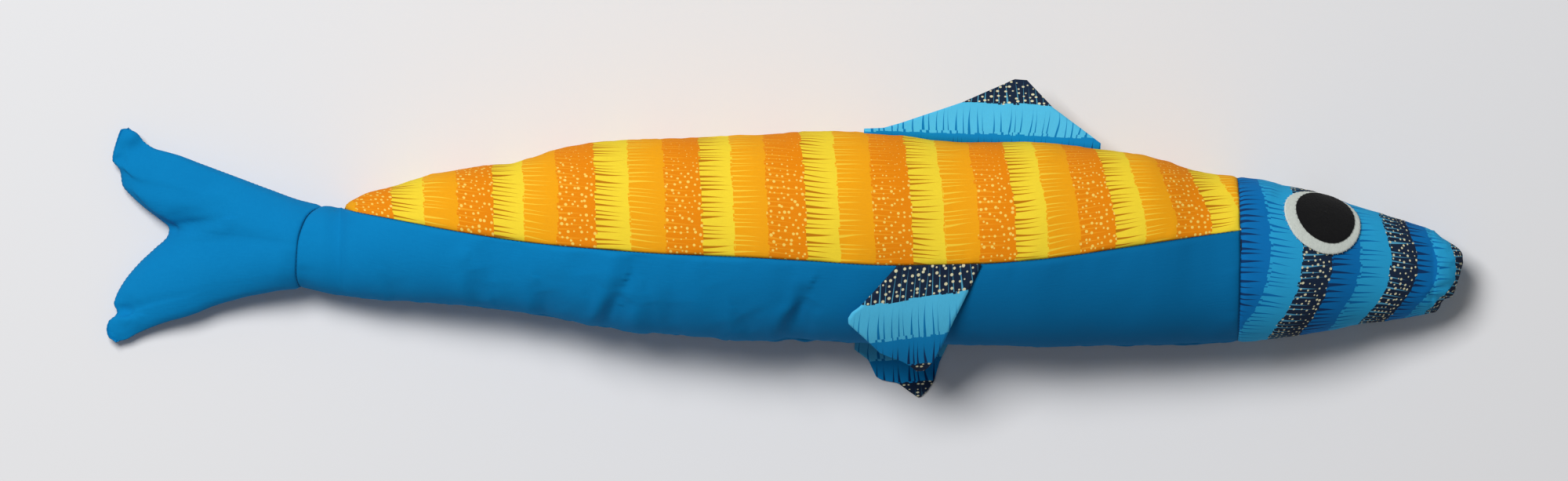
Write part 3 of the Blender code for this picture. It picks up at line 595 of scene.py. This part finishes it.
def stitchTree():
    # a stitch on every step of a path, turned the way that the path's points say
    tree = bpy.data.node_groups.new("stitchesAlongPath", "GeometryNodeTree")
    socket = tree.interface.new_socket
    socket(name="Path", in_out="INPUT", socket_type="NodeSocketGeometry")
    for name in ("Pitch", "Length", "Thread"):
        socket(name=name, in_out="INPUT", socket_type="NodeSocketFloat")
    socket(name="Finish", in_out="INPUT", socket_type="NodeSocketMaterial")
    socket(name="Stitches", in_out="OUTPUT", socket_type="NodeSocketGeometry")

    def node(kind, *wires, **settings):
        made = tree.nodes.new(kind)
        for key, value in settings.items():
            setattr(made, key, value)
        for source, key in wires:
            if hasattr(source, "is_output"):
                tree.links.new(source, made.inputs[key])
            else:
                made.inputs[key].default_value = source
        return made

    given = node("NodeGroupInput").outputs
    line = node("GeometryNodeMeshToCurve", (given["Path"], "Mesh"))
    spacing = (given["Pitch"], "Length")
    steps = node("GeometryNodeResampleCurve", (line.outputs[0], "Curve"), spacing, mode="LENGTH")
    sides, loops = (stitch["sides"], "Segments"), (stitch["loops"], "Rings")
    bead = node("GeometryNodeMeshUVSphere", sides, loops, (0.5, "Radius"))
    way = node("GeometryNodeInputNamedAttribute", ("stitchWay", "Name"), data_type="FLOAT_VECTOR")
    turn = node("FunctionNodeAlignRotationToVector", (way.outputs["Attribute"], "Vector"), axis="Z")
    lengths = (stitch["shortest"], 2), (stitch["longest"], 3), (stitch["seed"], "Seed")
    chance = node("FunctionNodeRandomValue", *lengths, data_type="FLOAT")
    long = node("ShaderNodeMath", (given["Length"], 0), (chance.outputs[1], 1), operation="MULTIPLY")
    size = node("ShaderNodeCombineXYZ", (given["Thread"], 0), (given["Thread"], 1), (long.outputs[0], 2))
    placed = node(
        "GeometryNodeInstanceOnPoints", (steps.outputs[0], "Points"), (bead.outputs["Mesh"], "Instance"),
        (turn.outputs[0], "Rotation"), (size.outputs[0], "Scale"),
    )
    real = node("GeometryNodeRealizeInstances", (placed.outputs[0], "Geometry"))
    finished = node("GeometryNodeSetMaterial", (real.outputs[0], "Geometry"), (given["Finish"], "Material"))
    node("NodeGroupOutput", (finished.outputs[0], "Stitches"))
    return tree


sewing = stitchTree()


def sewStitches(name, path, ways, material, nodes, size=stitch):
    # runs the stitch tree along a path and keeps the result as a plain mesh
    mesh = bpy.data.meshes.new(name + "Path")
    mesh.from_pydata(path.tolist(), [(i, i + 1) for i in range(len(path) - 1)], [])
    stitchWay = mesh.attributes.new("stitchWay", "FLOAT_VECTOR", "POINT")
    stitchWay.data.foreach_set("vector", ways.astype(np.float32).ravel())
    line = addObject(name + "Path", mesh)
    modifier = line.modifiers.new("stitches", "NODES")
    modifier.node_group = sewing
    values = {"Pitch": size["pitch"], "Length": size["length"], "Thread": size["thread"], "Finish": material}
    for item in sewing.interface.items_tree:
        if item.in_out == "INPUT" and item.name in values:
            modifier[item.identifier] = values[item.name]
    seen = line.evaluated_get(bpy.context.evaluated_depsgraph_get())
    made = bpy.data.meshes.new_from_object(seen)
    line.modifiers.clear()
    bpy.data.objects.remove(line)
    made.name = name
    made.shade_smooth()
    piece = addObject(name, made)
    if nodes:
        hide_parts(*nodes)
    return piece


def seamStitches(name, path, material, nodes):
    # running stitches that lie along a seam
    return sewStitches(name, path, np.gradient(path, axis=0), material, nodes)


def dress(piece, material, nodes):
    piece.data.materials.append(material)
    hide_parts(*nodes)


torso = {
    "backRows": 320, "backColumns": 64, "bellyRows": 340, "bellyColumns": 76,
    "seamAngle": 0.07 / 60,  # half the gap at a seam, seen from the middle
    "backTip": -292.4 * mm, "rootX": -294 * mm, "rootRows": 26,
    "lean": [(-300, 2), (-100, 3), (100, 7), (280, 15), (300, 15)],
    "seamLift": {"side": 0.05 * mm, "ridge": 0.1 * mm},
}
# the x of the slanted tail seam for each angle round the body
tailSeamX = lineThrough([(0, -0.306), (0.8, -0.3175), (1.57, -0.3225), (2.3, -0.3234), (math.pi, -0.321)], 1)
leanLine = lineThrough(torso["lean"])
# how far along the printed cloth each x lies
backU = lineThrough([
    (-300, -84), (-283.6, -68.6), (-215, 0), (-148.6, 68.6), (-77.5, 137.2), (-10.1, 205.8),
    (59.9, 274.4), (128.4, 343), (194.8, 411.6), (258.1, 480.2), (300, 525), (320, 546),
])
bellyFolds = [  # the right side's creases near the belly seam
    ((-197, 2), (-193, -30), 7, 1.5), ((-206, -18), (-201, -42), 5, 2.0), ((-161, -33), (-157, -51), 5, 2.0),
    ((-136, -6), (-133, -24), 7, 1.3), ((-100, -10), (-106, -36), 6, 2.0), ((-108, -34), (-121, -60), 5.5, 3.6),
    ((-90, -40), (-86, -61), 6, 1.8), ((-74, -40), (-71, -62), 7, 1.2), ((15, -36), (1, -65), 5.5, 3.4),
    ((-30, -50), (-22, -63), 5, 1.6), ((70, -54), (66, -68), 5, 1.0), ((-262, -26), (-256, -41), 5, 0.9),
    ((120, -28), (123, -54), 7, 0.8), ((-48, -28), (-40, -54), 9, 1.2),
]
# the left side's are further forward
leftBellyFolds = [((a + 30, b), (c + 22, d), width, depth) for (a, b), (c, d), width, depth in bellyFolds]
wrinkle = {
    "height": 1.3 * mm, "patch": (60 * mm, 90 * mm), "patchShare": 0.35, "wave": (12 * mm, 50 * mm),
    "swerve": 0.4, "swerveSize": 30 * mm,
}


def bellyWrinkles(seed):
    # patches of small creases across the lower half of the belly panel
    def at(grid, along, across):
        low = ease(across / across[:, -1:] * 1.7 - 0.75)
        patches = lumps(along / wrinkle["patch"][0], across / wrinkle["patch"][1], seed)
        swerve = lumps(along / wrinkle["swerveSize"], across / wrinkle["swerveSize"], seed + 2)
        swerve = across / wrinkle["wave"][1] + wrinkle["swerve"] * swerve
        waves = lumps(along / wrinkle["wave"][0], swerve, seed + 1)
        return waves * low * ease(patches + wrinkle["patchShare"]) * wrinkle["height"]
    return at


def backPanel(side, name):
    gap = torso["seamAngle"]
    x = np.linspace(torso["backTip"], bodyShape["headSeamX"], torso["backRows"])[:, None]
    share = np.linspace(0, 1, torso["backColumns"])[None]
    angle = gap + (sideAngle(x) - 2 * gap) * share
    grid = bodyPoint(x, angle, side)
    rise = np.clip((grid[..., 1] - sideLine(x)) / (backLine(x) - sideLine(x) + 1e-6), 0, 1)
    around = runOf(grid, 1)
    uv = np.stack([backU(x + leanLine(x) * rise**2), around[:, -1:] - around], axis=-1)
    grid = sewn(grid, side, 30 + side)
    return clothShell("back" + name, grid, uv, side), {"back": grid[:, 0], "side": grid[:, -1]}


def bellyPanel(side, name):
    # its first rows go from the slanted tail seam to a straight line across
    gap = torso["seamAngle"]
    rows, rootRows, rootX = torso["bellyRows"], torso["rootRows"], torso["rootX"]
    share = np.linspace(0, 1, torso["bellyColumns"])[None]
    startX = tailSeamX(share * math.pi)
    row = np.arange(rows)[:, None]
    x = np.where(
        row < rootRows,
        startX + (rootX - startX) * (row / rootRows),
        rootX + (bodyShape["headSeamX"] - rootX) * ((row - rootRows) / (rows - 1 - rootRows)),
    )
    top = np.where(x > torso["backTip"], sideAngle(x), 0)
    angle = top + gap + (math.pi - top - 2 * gap) * share
    grid = bodyPoint(x, angle, side)
    uv = np.stack([runOf(grid, 0), runOf(grid, 1)], axis=-1)
    folds = bellyFolds if side == rightSide else leftBellyFolds
    grid = sewn(grid, side, 50 + side, folds=folds, wrinkles=bellyWrinkles(70 + side))
    return clothShell("belly" + name, grid, uv, side), {"belly": grid[:, -1]}


def withFilling(side, panel, filling):
    # the right panel also stands for the filling
    return [panel, filling] if side == rightSide else [panel]


bothSides = ((rightSide, "Right", "right"), (leftSide, "Left", "left"))

print("torso")
torsoSeams = {}
for side, name, low in bothSides:
    back, backSeams = backPanel(side, name)
    belly, bellySeams = bellyPanel(side, name)
    torsoSeams[side] = backSeams | bellySeams
    dress(back, orangePrint, [f"back_panel_{low}"])
    dress(belly, plainBlue, withFilling(side, f"belly_panel_{low}", "torso_filling"))
    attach(back, "torso")
    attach(belly, "torso")
    path = torsoSeams[side]["side"][3:-3] + np.array([0, 0, torso["seamLift"]["side"] * side])
    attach(seamStitches("sideSeam" + name, path, blueThread, [f"side_seam_thread_{low}"]), "torso")
ridgeLift = np.array([0, torso["seamLift"]["ridge"], 0])
path = (torsoSeams[rightSide]["back"] + torsoSeams[leftSide]["back"])[4:-3] / 2 + ridgeLift
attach(seamStitches("backSeam", path, orangeThread, ["back_seam_thread"]), "torso")
path = (torsoSeams[rightSide]["belly"] + torsoSeams[leftSide]["belly"])[4:-3] / 2 - ridgeLift
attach(seamStitches("bellySeam", path, blueThread, ["belly_seam_thread"]), "torso")


head = {
    "rows": 90, "noseRows": 30, "columns": 150, "seamAngle": 0.003,
    "bendStart": 303 * mm, "bendEnd": 327 * mm,
    "curveBelow": 17 * mm, "curveAbove": 9 * mm, "curveMiddle": [(300, 9.5), (360, 4), (430, 2)],
    "printAcross": 0.3,
}
headU = lineThrough([(285, 4.6), (300.6, 20.1), (361.3, 80.1), (418.9, 140.1), (445.3, 180.1), (456, 202.1)])
curveMiddle = lineThrough(head["curveMiddle"])
headFolds = [
    ((441, -30), (431, -33), 3.0, 1.2), ((437, -40), (427, -38), 3.0, 1.4), ((428, -49), (418, -44), 3.5, 1.2),
    ((447, -16), (440, -17), 3.0, 0.8), ((446, -4), (438, -8), 3.0, 0.6), ((330, 34), (322, 24), 4, 0.6),
]


def headPanel(side, name):
    x = np.linspace(bodyShape["headSeamX"], bodyShape["noseX"], head["rows"])
    turned = np.concatenate([np.zeros(head["rows"]), np.linspace(0, math.pi / 2, head["noseRows"] + 1)[1:]])
    x = np.concatenate([x, np.full(head["noseRows"], bodyShape["noseX"])])[:, None]
    angle = np.linspace(head["seamAngle"], math.pi - head["seamAngle"], head["columns"])[None] + x * 0
    grid = bodyPoint(x, angle, side, turned[:, None])
    depth = sectionAt(x)[1]
    height = np.cos(angle) - curveMiddle(x) / depth
    curve = np.where(height > 0, head["curveAbove"], head["curveBelow"]) * height**2
    around = runOf(grid, 1)
    middle = around[:, head["columns"] // 2][:, None]
    uv = np.stack([headU(grid[..., 0] + curve), around - middle + head["printAcross"]], axis=-1)
    grid = sewn(grid, side, 90 + side, edges=(1, 0.8, 0.8, 0.8), folds=headFolds)
    edge = np.concatenate([grid[4:, 0], grid[-1, 1:-1], grid[:3:-1, -1]])
    return clothShell("head" + name, grid, uv, side), edge, grid[0]


eye = {
    "x": 355 * mm, "angle": math.radians(48.5), "feltThickness": 1.5 * mm, "rings": 22, "spokes": 96,
    "middleShare": 0.02, "domed": 0.12, "fuzz": 0.12 * mm, "fuzzSize": 3 * mm, "shaky": (0.006, 0.004),
    # the felt's edge, as shares of its radius and thickness
    "edge": [(0.985, 0.78), (0.999, 0.5), (1.0, 0.18), (0.985, 0.0), (0.5, 0.0), (0.02, 0.0)],
}
eyeWhite = {"radius": 25.6 * mm, "forward": 0, "up": 0, "lift": 0.5 * mm, "seed": 7}
pupil = {
    "radius": 19.8 * mm, "forward": 1.9 * mm, "up": 1.1 * mm,
    "lift": 0.7 * mm + eye["feltThickness"], "seed": 19,
}


def onHead(along, across, side, lift):
    # a place on the head: along the fish and down its side from the middle of the eye
    x = eye["x"] + along
    middleY, depth, thickness, middleZ = sectionAt(x)
    speed = np.hypot(depth * np.sin(eye["angle"]), thickness * np.cos(eye["angle"]))
    angle = eye["angle"] + across / speed
    y = middleY + (depth + lift) * np.cos(angle)
    z = middleZ + side * (thickness + lift) * np.sin(angle)
    return np.stack([x, y, z], axis=-1)


def feltDisc(name, side, disc):
    # a cut felt circle with a soft rounded edge, laid on the head
    seed = disc["seed"]
    spokes = np.linspace(0, math.tau, eye["spokes"], endpoint=False)[None]
    inner = np.linspace(eye["middleShare"], 0.965, eye["rings"])
    rings = np.array([(r, 1 - eye["domed"] * r**6) for r in inner] + eye["edge"])
    share, thick = rings[:, :1], rings[:, 1:] * eye["feltThickness"]
    shaky = eye["shaky"][0] * lumps(spokes * 3, spokes * 0, seed)
    shaky = shaky + eye["shaky"][1] * lumps(spokes * 11, spokes * 0, seed + 1)
    reach = share * disc["radius"] * (1 + shaky * share)
    along, across = reach * np.cos(spokes), reach * np.sin(spokes)
    fuzz = eye["fuzz"] * lumps(along / eye["fuzzSize"], across / eye["fuzzSize"], seed + 2)
    height = thick + fuzz * (rings[:, 1:] > 0.6)
    grid = onHead(along + disc["forward"], across - disc["up"], side, disc["lift"] + height)
    rows, columns = grid.shape[:2]
    points = np.concatenate([grid.reshape(-1, 3), grid[0].mean(axis=0)[None], grid[-1].mean(axis=0)[None]])
    faces = gridFaces(rows, columns, closed=True, flip=side == rightSide).tolist()
    top, bottom = rows * columns, rows * columns + 1
    for i in range(columns):
        k, last = (i + 1) % columns, (rows - 1) * columns
        fan, floor = [top, i, k], [bottom, last + k, last + i]
        faces += [fan[::-1], floor[::-1]] if side == rightSide else [fan, floor]
    return addMesh(name, points, faces)


# each place is how far past the felt's edge, and how high in shares of the felt's thickness
whipStitch = {
    "pitch": 3.4 * mm, "length": 2.6 * mm, "thread": 0.34 * mm, "steps": 200,
    "middle": (-0.35 * mm, 0.75), "outside": (0.8 * mm, 0.25), "inside": (-1.4 * mm, 1.05),
}


def eyeStitches(name, side, disc, material):
    # small stitches over the cut edge of the felt
    around = np.linspace(0, math.tau, whipStitch["steps"])

    def ring(where):
        past, share = whipStitch[where]
        reach, lift = disc["radius"] + past, disc["lift"] + eye["feltThickness"] * share
        along, across = reach * np.cos(around) + disc["forward"], reach * np.sin(around) - disc["up"]
        return onHead(along, across, side, lift)

    ways = ring("outside") - ring("inside")
    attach(sewStitches(name, ring("middle"), ways, material, [], whipStitch), "head")


print("head")
headEdges, neckEdges = [], []
for side, name, low in bothSides:
    panel, edge, neck = headPanel(side, name)
    headEdges.append(edge)
    neckEdges.append(neck[::side])
    dress(panel, headPrint, withFilling(side, f"head_panel_{low}", "head_filling"))
    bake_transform(panel)
    whiteDisc = feltDisc("eyeWhite" + name, side, eyeWhite)
    blackDisc = feltDisc("pupil" + name, side, pupil)
    dress(whiteDisc, whiteFelt, [f"eye_white_{low}"])
    dress(blackDisc, blackFelt, [f"pupil_{low}"])
    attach(whiteDisc, "head")
    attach(blackDisc, "head")
    eyeStitches("eyeWhiteStitches" + name, side, eyeWhite, whiteThread)
    eyeStitches("pupilStitches" + name, side, pupil, blackThread)
piece = seamStitches("headEdgeSeam", (headEdges[0] + headEdges[1]) / 2, blueThread, ["head_edge_thread"])
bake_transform(piece)
neck = np.concatenate([neckEdges[0], neckEdges[1]])
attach(seamStitches("headSeam", np.concatenate([neck, neck[:1]]), blueThread, ["head_seam_thread"]), "torso")


tail = {
    "columns": 110, "rows": 120, "edge": 0.12 * mm, "rootShare": 0.16,
    "bendStart": -323 * mm, "bendEnd": -352 * mm,
}
tailTop = pathThrough([
    (-306, 23.1), (-324, 28), (-342, 34.5), (-363, 42.3), (-384, 50.1), (-404, 57.3), (-419, 61.6),
    (-426, 66.1), (-431, 71.9), (-437, 75),
])
tailBottom = pathThrough([
    (-321, -31.9), (-332, -32.9), (-352.5, -36.6), (-373, -41.8), (-394, -49.5), (-414.7, -55.8),
    (-430, -62), (-439, -66.6), (-445.5, -68),
])
tailFork = pathThrough([
    (-437, 75), (-441.4, 74.6), (-444.6, 68.6), (-448.2, 53.7), (-443, 45.9), (-441.7, 37.1), (-435.5, 29.3),
    (-425, 20), (-414.7, 12.2), (-410.5, 8), (-411, 4.4), (-420, -4.9), (-430, -14.3), (-440.6, -27.2),
    (-446.2, -38), (-447.2, -42.3), (-445, -47.5), (-450.7, -53.7), (-452, -58.9), (-450.8, -64), (-445.5, -68),
])
tailFolds = [
    ((-411, 7.5), (-376, 13.5), 4, 3.0), ((-423, 66), (-439, 59), 4, 3.0), ((-444, -45), (-433, -48), 3.5, 2.0),
    ((-388, 36), (-366, 41), 5, 0.9), ((-446, 53), (-437, 54), 3.5, 1.2), ((-366, -10), (-350, 4), 7, 0.4),
]
# half the thickness and the middle's height, in millimetres, from the seam at 0 to the tips at 1
tailHeight = lineThrough(
    [(0, 24.4), (0.12, 23), (0.3, 20.5), (0.6, 16), (0.8, 11.8), (0.92, 7.6), (0.98, 3.6), (1, 0.1)], 1
)
tailMiddle = lineThrough([(0, 27.25), (0.3, 20.1), (0.6, 15.7), (0.85, 11.2), (1, 9)], 1)


def tailPanel(side, name):
    # a patch stretched between the seam, the two outer edges and the fork
    angle = np.linspace(0, math.pi, tail["rows"])[None]
    v = (1 - np.cos(angle)) / 2
    u = np.sin(np.linspace(0, math.pi / 2, tail["columns"]))[:, None]
    seam = bodyPoint(tailSeamX(angle), angle, side)
    top, bottom = tailTop(u), tailBottom(u)
    fork = tailFork(v)
    flat = seam[..., :2] * (1 - u)[..., None] + fork * u[..., None]
    flat = flat + top * (1 - v)[..., None] + bottom * v[..., None]
    seamTop, seamBottom = seam[:, :1, :2], seam[:, -1:, :2]
    tipTop, tipBottom = fork[:, :1], fork[:, -1:]
    weight = lambda a, b: (a * b)[..., None]
    flat = flat - (seamTop * weight(1 - u, 1 - v) + seamBottom * weight(1 - u, v)
                   + tipTop * weight(u, 1 - v) + tipBottom * weight(u, v))
    height = tailHeight(u) * mm * np.sin(angle) ** 0.9 + tail["edge"]
    z = tailMiddle(u) * mm + side * height
    share = ease(u / tail["rootShare"])
    z = restedOn(0, seam[..., 2] * (1 - share) + z * share)
    grid = np.concatenate([flat, z[..., None]], axis=-1)
    uv = np.stack([-flat[..., 0], -flat[..., 1]], axis=-1)
    grid = sewn(grid, side, 110 + side, edges=(1, 0.7, 0.6, 0.6), folds=tailFolds)
    edge = np.concatenate([grid[4:, 0], grid[-1, 1:-1], grid[:3:-1, -1]])
    return clothShell("tail" + name, grid, uv, side), edge, grid[0]


print("tail")
tailEdges, rootEdges = [], []
for side, name, low in bothSides:
    panel, edge, root = tailPanel(side, name)
    tailEdges.append(edge)
    rootEdges.append(root[::side])
    dress(panel, plainBlue, withFilling(side, f"tail_panel_{low}", "tail_filling"))
    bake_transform(panel)
piece = seamStitches("tailEdgeSeam", (tailEdges[0] + tailEdges[1]) / 2, blueThread, ["tail_edge_thread"])
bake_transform(piece)
root = np.concatenate([rootEdges[0], rootEdges[1]])
piece = seamStitches("tailSeam", np.concatenate([root, root[:1]]), blueThread, ["tail_seam_thread"])
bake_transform(piece)


fins = {
    "rows": 90, "columns": 70, "halfThickness": 1.1 * mm, "halfRim": 0.25 * mm, "rimSlope": 14,
    "bendBefore": 0.6 * mm, "bendAfter": 3.5 * mm, "printAcross": 0.2,
    "wave": (22 * mm, 30 * mm), "fineWave": (10 * mm, 12 * mm), "fineShare": 0.4,
}
# the edges go from the seam at 0 to the tip at 1, in shares of the span from the middle
dorsalFin = {
    "joint": "dorsal_fin_flop", "base": 157 * mm, "span": 157 * mm, "length": 40 * mm, "tuck": 5.6 * mm,
    "away": (0, 0.9945, -0.1045), "curlTo": (0, 0, -1), "curl": 6.0, "seed": 3, "waveHeight": 0.5 * mm,
    "bandAtBase": 52.7 * mm, "bandWay": 1.45, "bandSlant": -0.03,
    "edges": (
        [(0, -0.5), (0.03, -0.42), (0.135, -0.345), (0.548, -0.092), (1, 0.124)],
        [(0, 0.5), (0.55, 0.29), (1, 0.175)],
    ),
}
rightFin = {
    "joint": "right_fin_flap", "base": 56 * mm, "span": 60 * mm, "length": 88 * mm, "tuck": 0.6 * mm,
    "away": None, "curlTo": (0, 0, -1), "curl": 9.2, "seed": 13, "waveHeight": 0.6 * mm,
    "bandAtBase": 104 * mm, "bandWay": -1, "bandSlant": 0.137,
    "edges": (
        [(0, -0.467), (0.316, -0.875), (0.361, -0.955), (0.41, -0.995), (0.458, -0.99), (0.589, -0.815),
         (0.75, -0.64), (0.839, -0.42), (0.914, -0.303), (1, -0.215)],
        [(0, 0.46), (0.18, 0.335), (0.445, 0.163), (0.651, 0.058), (0.875, -0.053), (0.95, -0.11), (1, -0.18)],
    ),
}
leftFin = {
    "joint": "left_fin_flap", "base": 56 * mm, "span": 60 * mm, "length": 88 * mm, "tuck": 0.6 * mm,
    "away": (0, -1, 0), "curlTo": (0, 0, 1), "curl": 0.0, "seed": 23, "waveHeight": 0.0,
    "bandAtBase": 158.7 * mm, "bandWay": -1.7, "bandSlant": 0.05,
    "edges": (
        [(0, -0.467), (0.44, -0.95), (0.5, -0.955), (0.58, -0.92), (0.63, -0.925), (0.71, -0.775),
         (0.84, -0.69), (0.868, -0.62), (0.89, -0.45), (0.957, -0.325), (1, -0.235)],
        [(0, 0.467), (0.6, 0.118), (0.74, 0.015), (0.877, -0.045), (0.95, -0.12), (1, -0.205)],
    ),
}


def onLine(points, at):
    return np.interp(at, [p[0] for p in points], [p[1] for p in points])


def finWave(fin, across, out):
    size, fine, seed = fins["wave"], fins["fineWave"], fin["seed"]
    wave = lumps(across / size[0], out / size[1], seed)
    return fin["waveHeight"] * (wave + fins["fineShare"] * lumps(across / fine[0], out / fine[1], seed + 1))


def finPiece(name, fin):
    # two layers of cloth sewn at their edges, with their base tucked into the seam
    joint = joints[fin["joint"]]
    axis = np.array(joint["axis"]) * (-1 if joint["axis"][0] < 0 else 1)
    middle = np.array(joint["pos_m"]) + axis * fin["base"] / 2
    away = np.array(fin["away"], float)
    away -= axis * (away @ axis)
    away /= np.linalg.norm(away)
    curlTo = np.cross(away, axis)
    curlTo *= 1 if curlTo @ np.array(fin["curlTo"]) > 0 else -1
    v = np.concatenate([[-fin["tuck"] / fin["length"]], np.linspace(0, 1, fins["rows"])])[:, None]
    s = np.sin(np.linspace(-math.pi / 2, math.pi / 2, fins["columns"]))[None]
    left, right = (onLine(edge, v) * fin["span"] for edge in fin["edges"])
    across = (left + right) / 2 + (right - left) / 2 * s
    out = v * fin["length"] + s * 0
    turn = fin["curl"] * out
    reach = np.sin(turn) / fin["curl"] if fin["curl"] else out
    drop = (1 - np.cos(turn)) / fin["curl"] if fin["curl"] else out * 0
    normal = away * np.sin(turn)[..., None] - curlTo * np.cos(turn)[..., None]
    sheet = middle + axis * across[..., None] + away * reach[..., None] + curlTo * drop[..., None]
    sheet = sheet + normal * (finWave(fin, across, out) * ease(v * 3))[..., None]
    edge = np.minimum(1 - np.abs(s), (1 - v) * 2) + 0 * v
    fullness = ease(edge * fins["rimSlope"]) ** 0.5
    half = fins["halfRim"] + (fins["halfThickness"] - fins["halfRim"]) * fullness
    front, behind = sheet + normal * half[..., None], sheet - normal * half[..., None]
    facing = np.cross(front[1, 0] - front[0, 0], front[0, 1] - front[0, 0])
    band = fin["bandAtBase"] + (out + fin["bandSlant"] * across) * fin["bandWay"]
    uv = np.stack([band, across + fins["printAcross"]], axis=-1)
    made = closedShell(name, front, behind, uv, facing @ normal[0, 0] > 0)
    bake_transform(made)
    flat = (float(right.max() - left.min()), fin["length"] + fin["tuck"])
    area = float((right - left)[1:].mean() * fin["length"] + fin["base"] * fin["tuck"])
    return made, flat, area


print("fins")
middleX = np.array(joints["right_fin_flap"]["pos_m"][0] + rightFin["base"] / 2)
slope = sideAngle(middleX)
downTheSide = bodyPoint(middleX, slope + 0.02, rightSide) - bodyPoint(middleX, slope, rightSide)
rightFin["away"] = tuple(downTheSide.tolist())
piece, flat, area = finPiece("dorsalFin", dorsalFin)
dress(piece, finPrint, ["dorsal_fin_right_layer", "dorsal_fin_left_layer", "dorsal_fin_thread"])
piece, flat, area = finPiece("rightFin", rightFin)
dress(piece, finPrint, ["right_fin_outer_layer", "right_fin_inner_layer", "right_fin_thread"])
piece, flat, area = finPiece("leftFin", leftFin)
dress(piece, finPrint, ["left_fin_outer_layer", "left_fin_inner_layer", "left_fin_thread"])


studio = {
    "floor": 6.0, "floorColour": srgb(232, 232, 234),
    "distance": 6.0, "viewWidth": 1.0374, "focusHeight": 0.055,
    "key": (-1.1, 1.45, 3.6), "keyAim": (0, 0, 0.05), "keySize": 1.6, "keyPower": 144, "sky": 0.16,
}

print("floor, light and camera")
half = studio["floor"] / 2
floorMesh = bpy.data.meshes.new("floor")
corners = [(-half, -half, 0), (half, -half, 0), (half, half, 0), (-half, half, 0)]
floorMesh.from_pydata(corners, [], [(0, 1, 2, 3)])
floorMesh.materials.append(Wiring("paleFloor").finish(studio["floorColour"], 0.9, 0.0))
addObject("floor", floorMesh)
light = bpy.data.lights.new("keyLight", "AREA")
light.energy, light.size = studio["keyPower"], studio["keySize"]
keyLight = addObject("keyLight", light)
keyLight.location = studio["key"]
towards = Vector(studio["keyAim"]) - Vector(studio["key"])
keyLight.rotation_euler = towards.to_track_quat("-Z", "Y").to_euler()
world = bpy.data.worlds.new("studio")
world.use_nodes = True
sky = world.node_tree.nodes["Background"].inputs
sky["Color"].default_value = (1, 1, 1, 1)
sky["Strength"].default_value = studio["sky"]
bpy.context.scene.world = world
bpy.context.scene.view_settings.view_transform = "Standard"
cameraData = bpy.data.cameras.new("camera")
cameraData.lens = cameraData.sensor_width * (studio["distance"] - studio["focusHeight"]) / studio["viewWidth"]
camera = addObject("camera", cameraData)
camera.location = (0, 0, studio["distance"])
bpy.context.scene.camera = camera
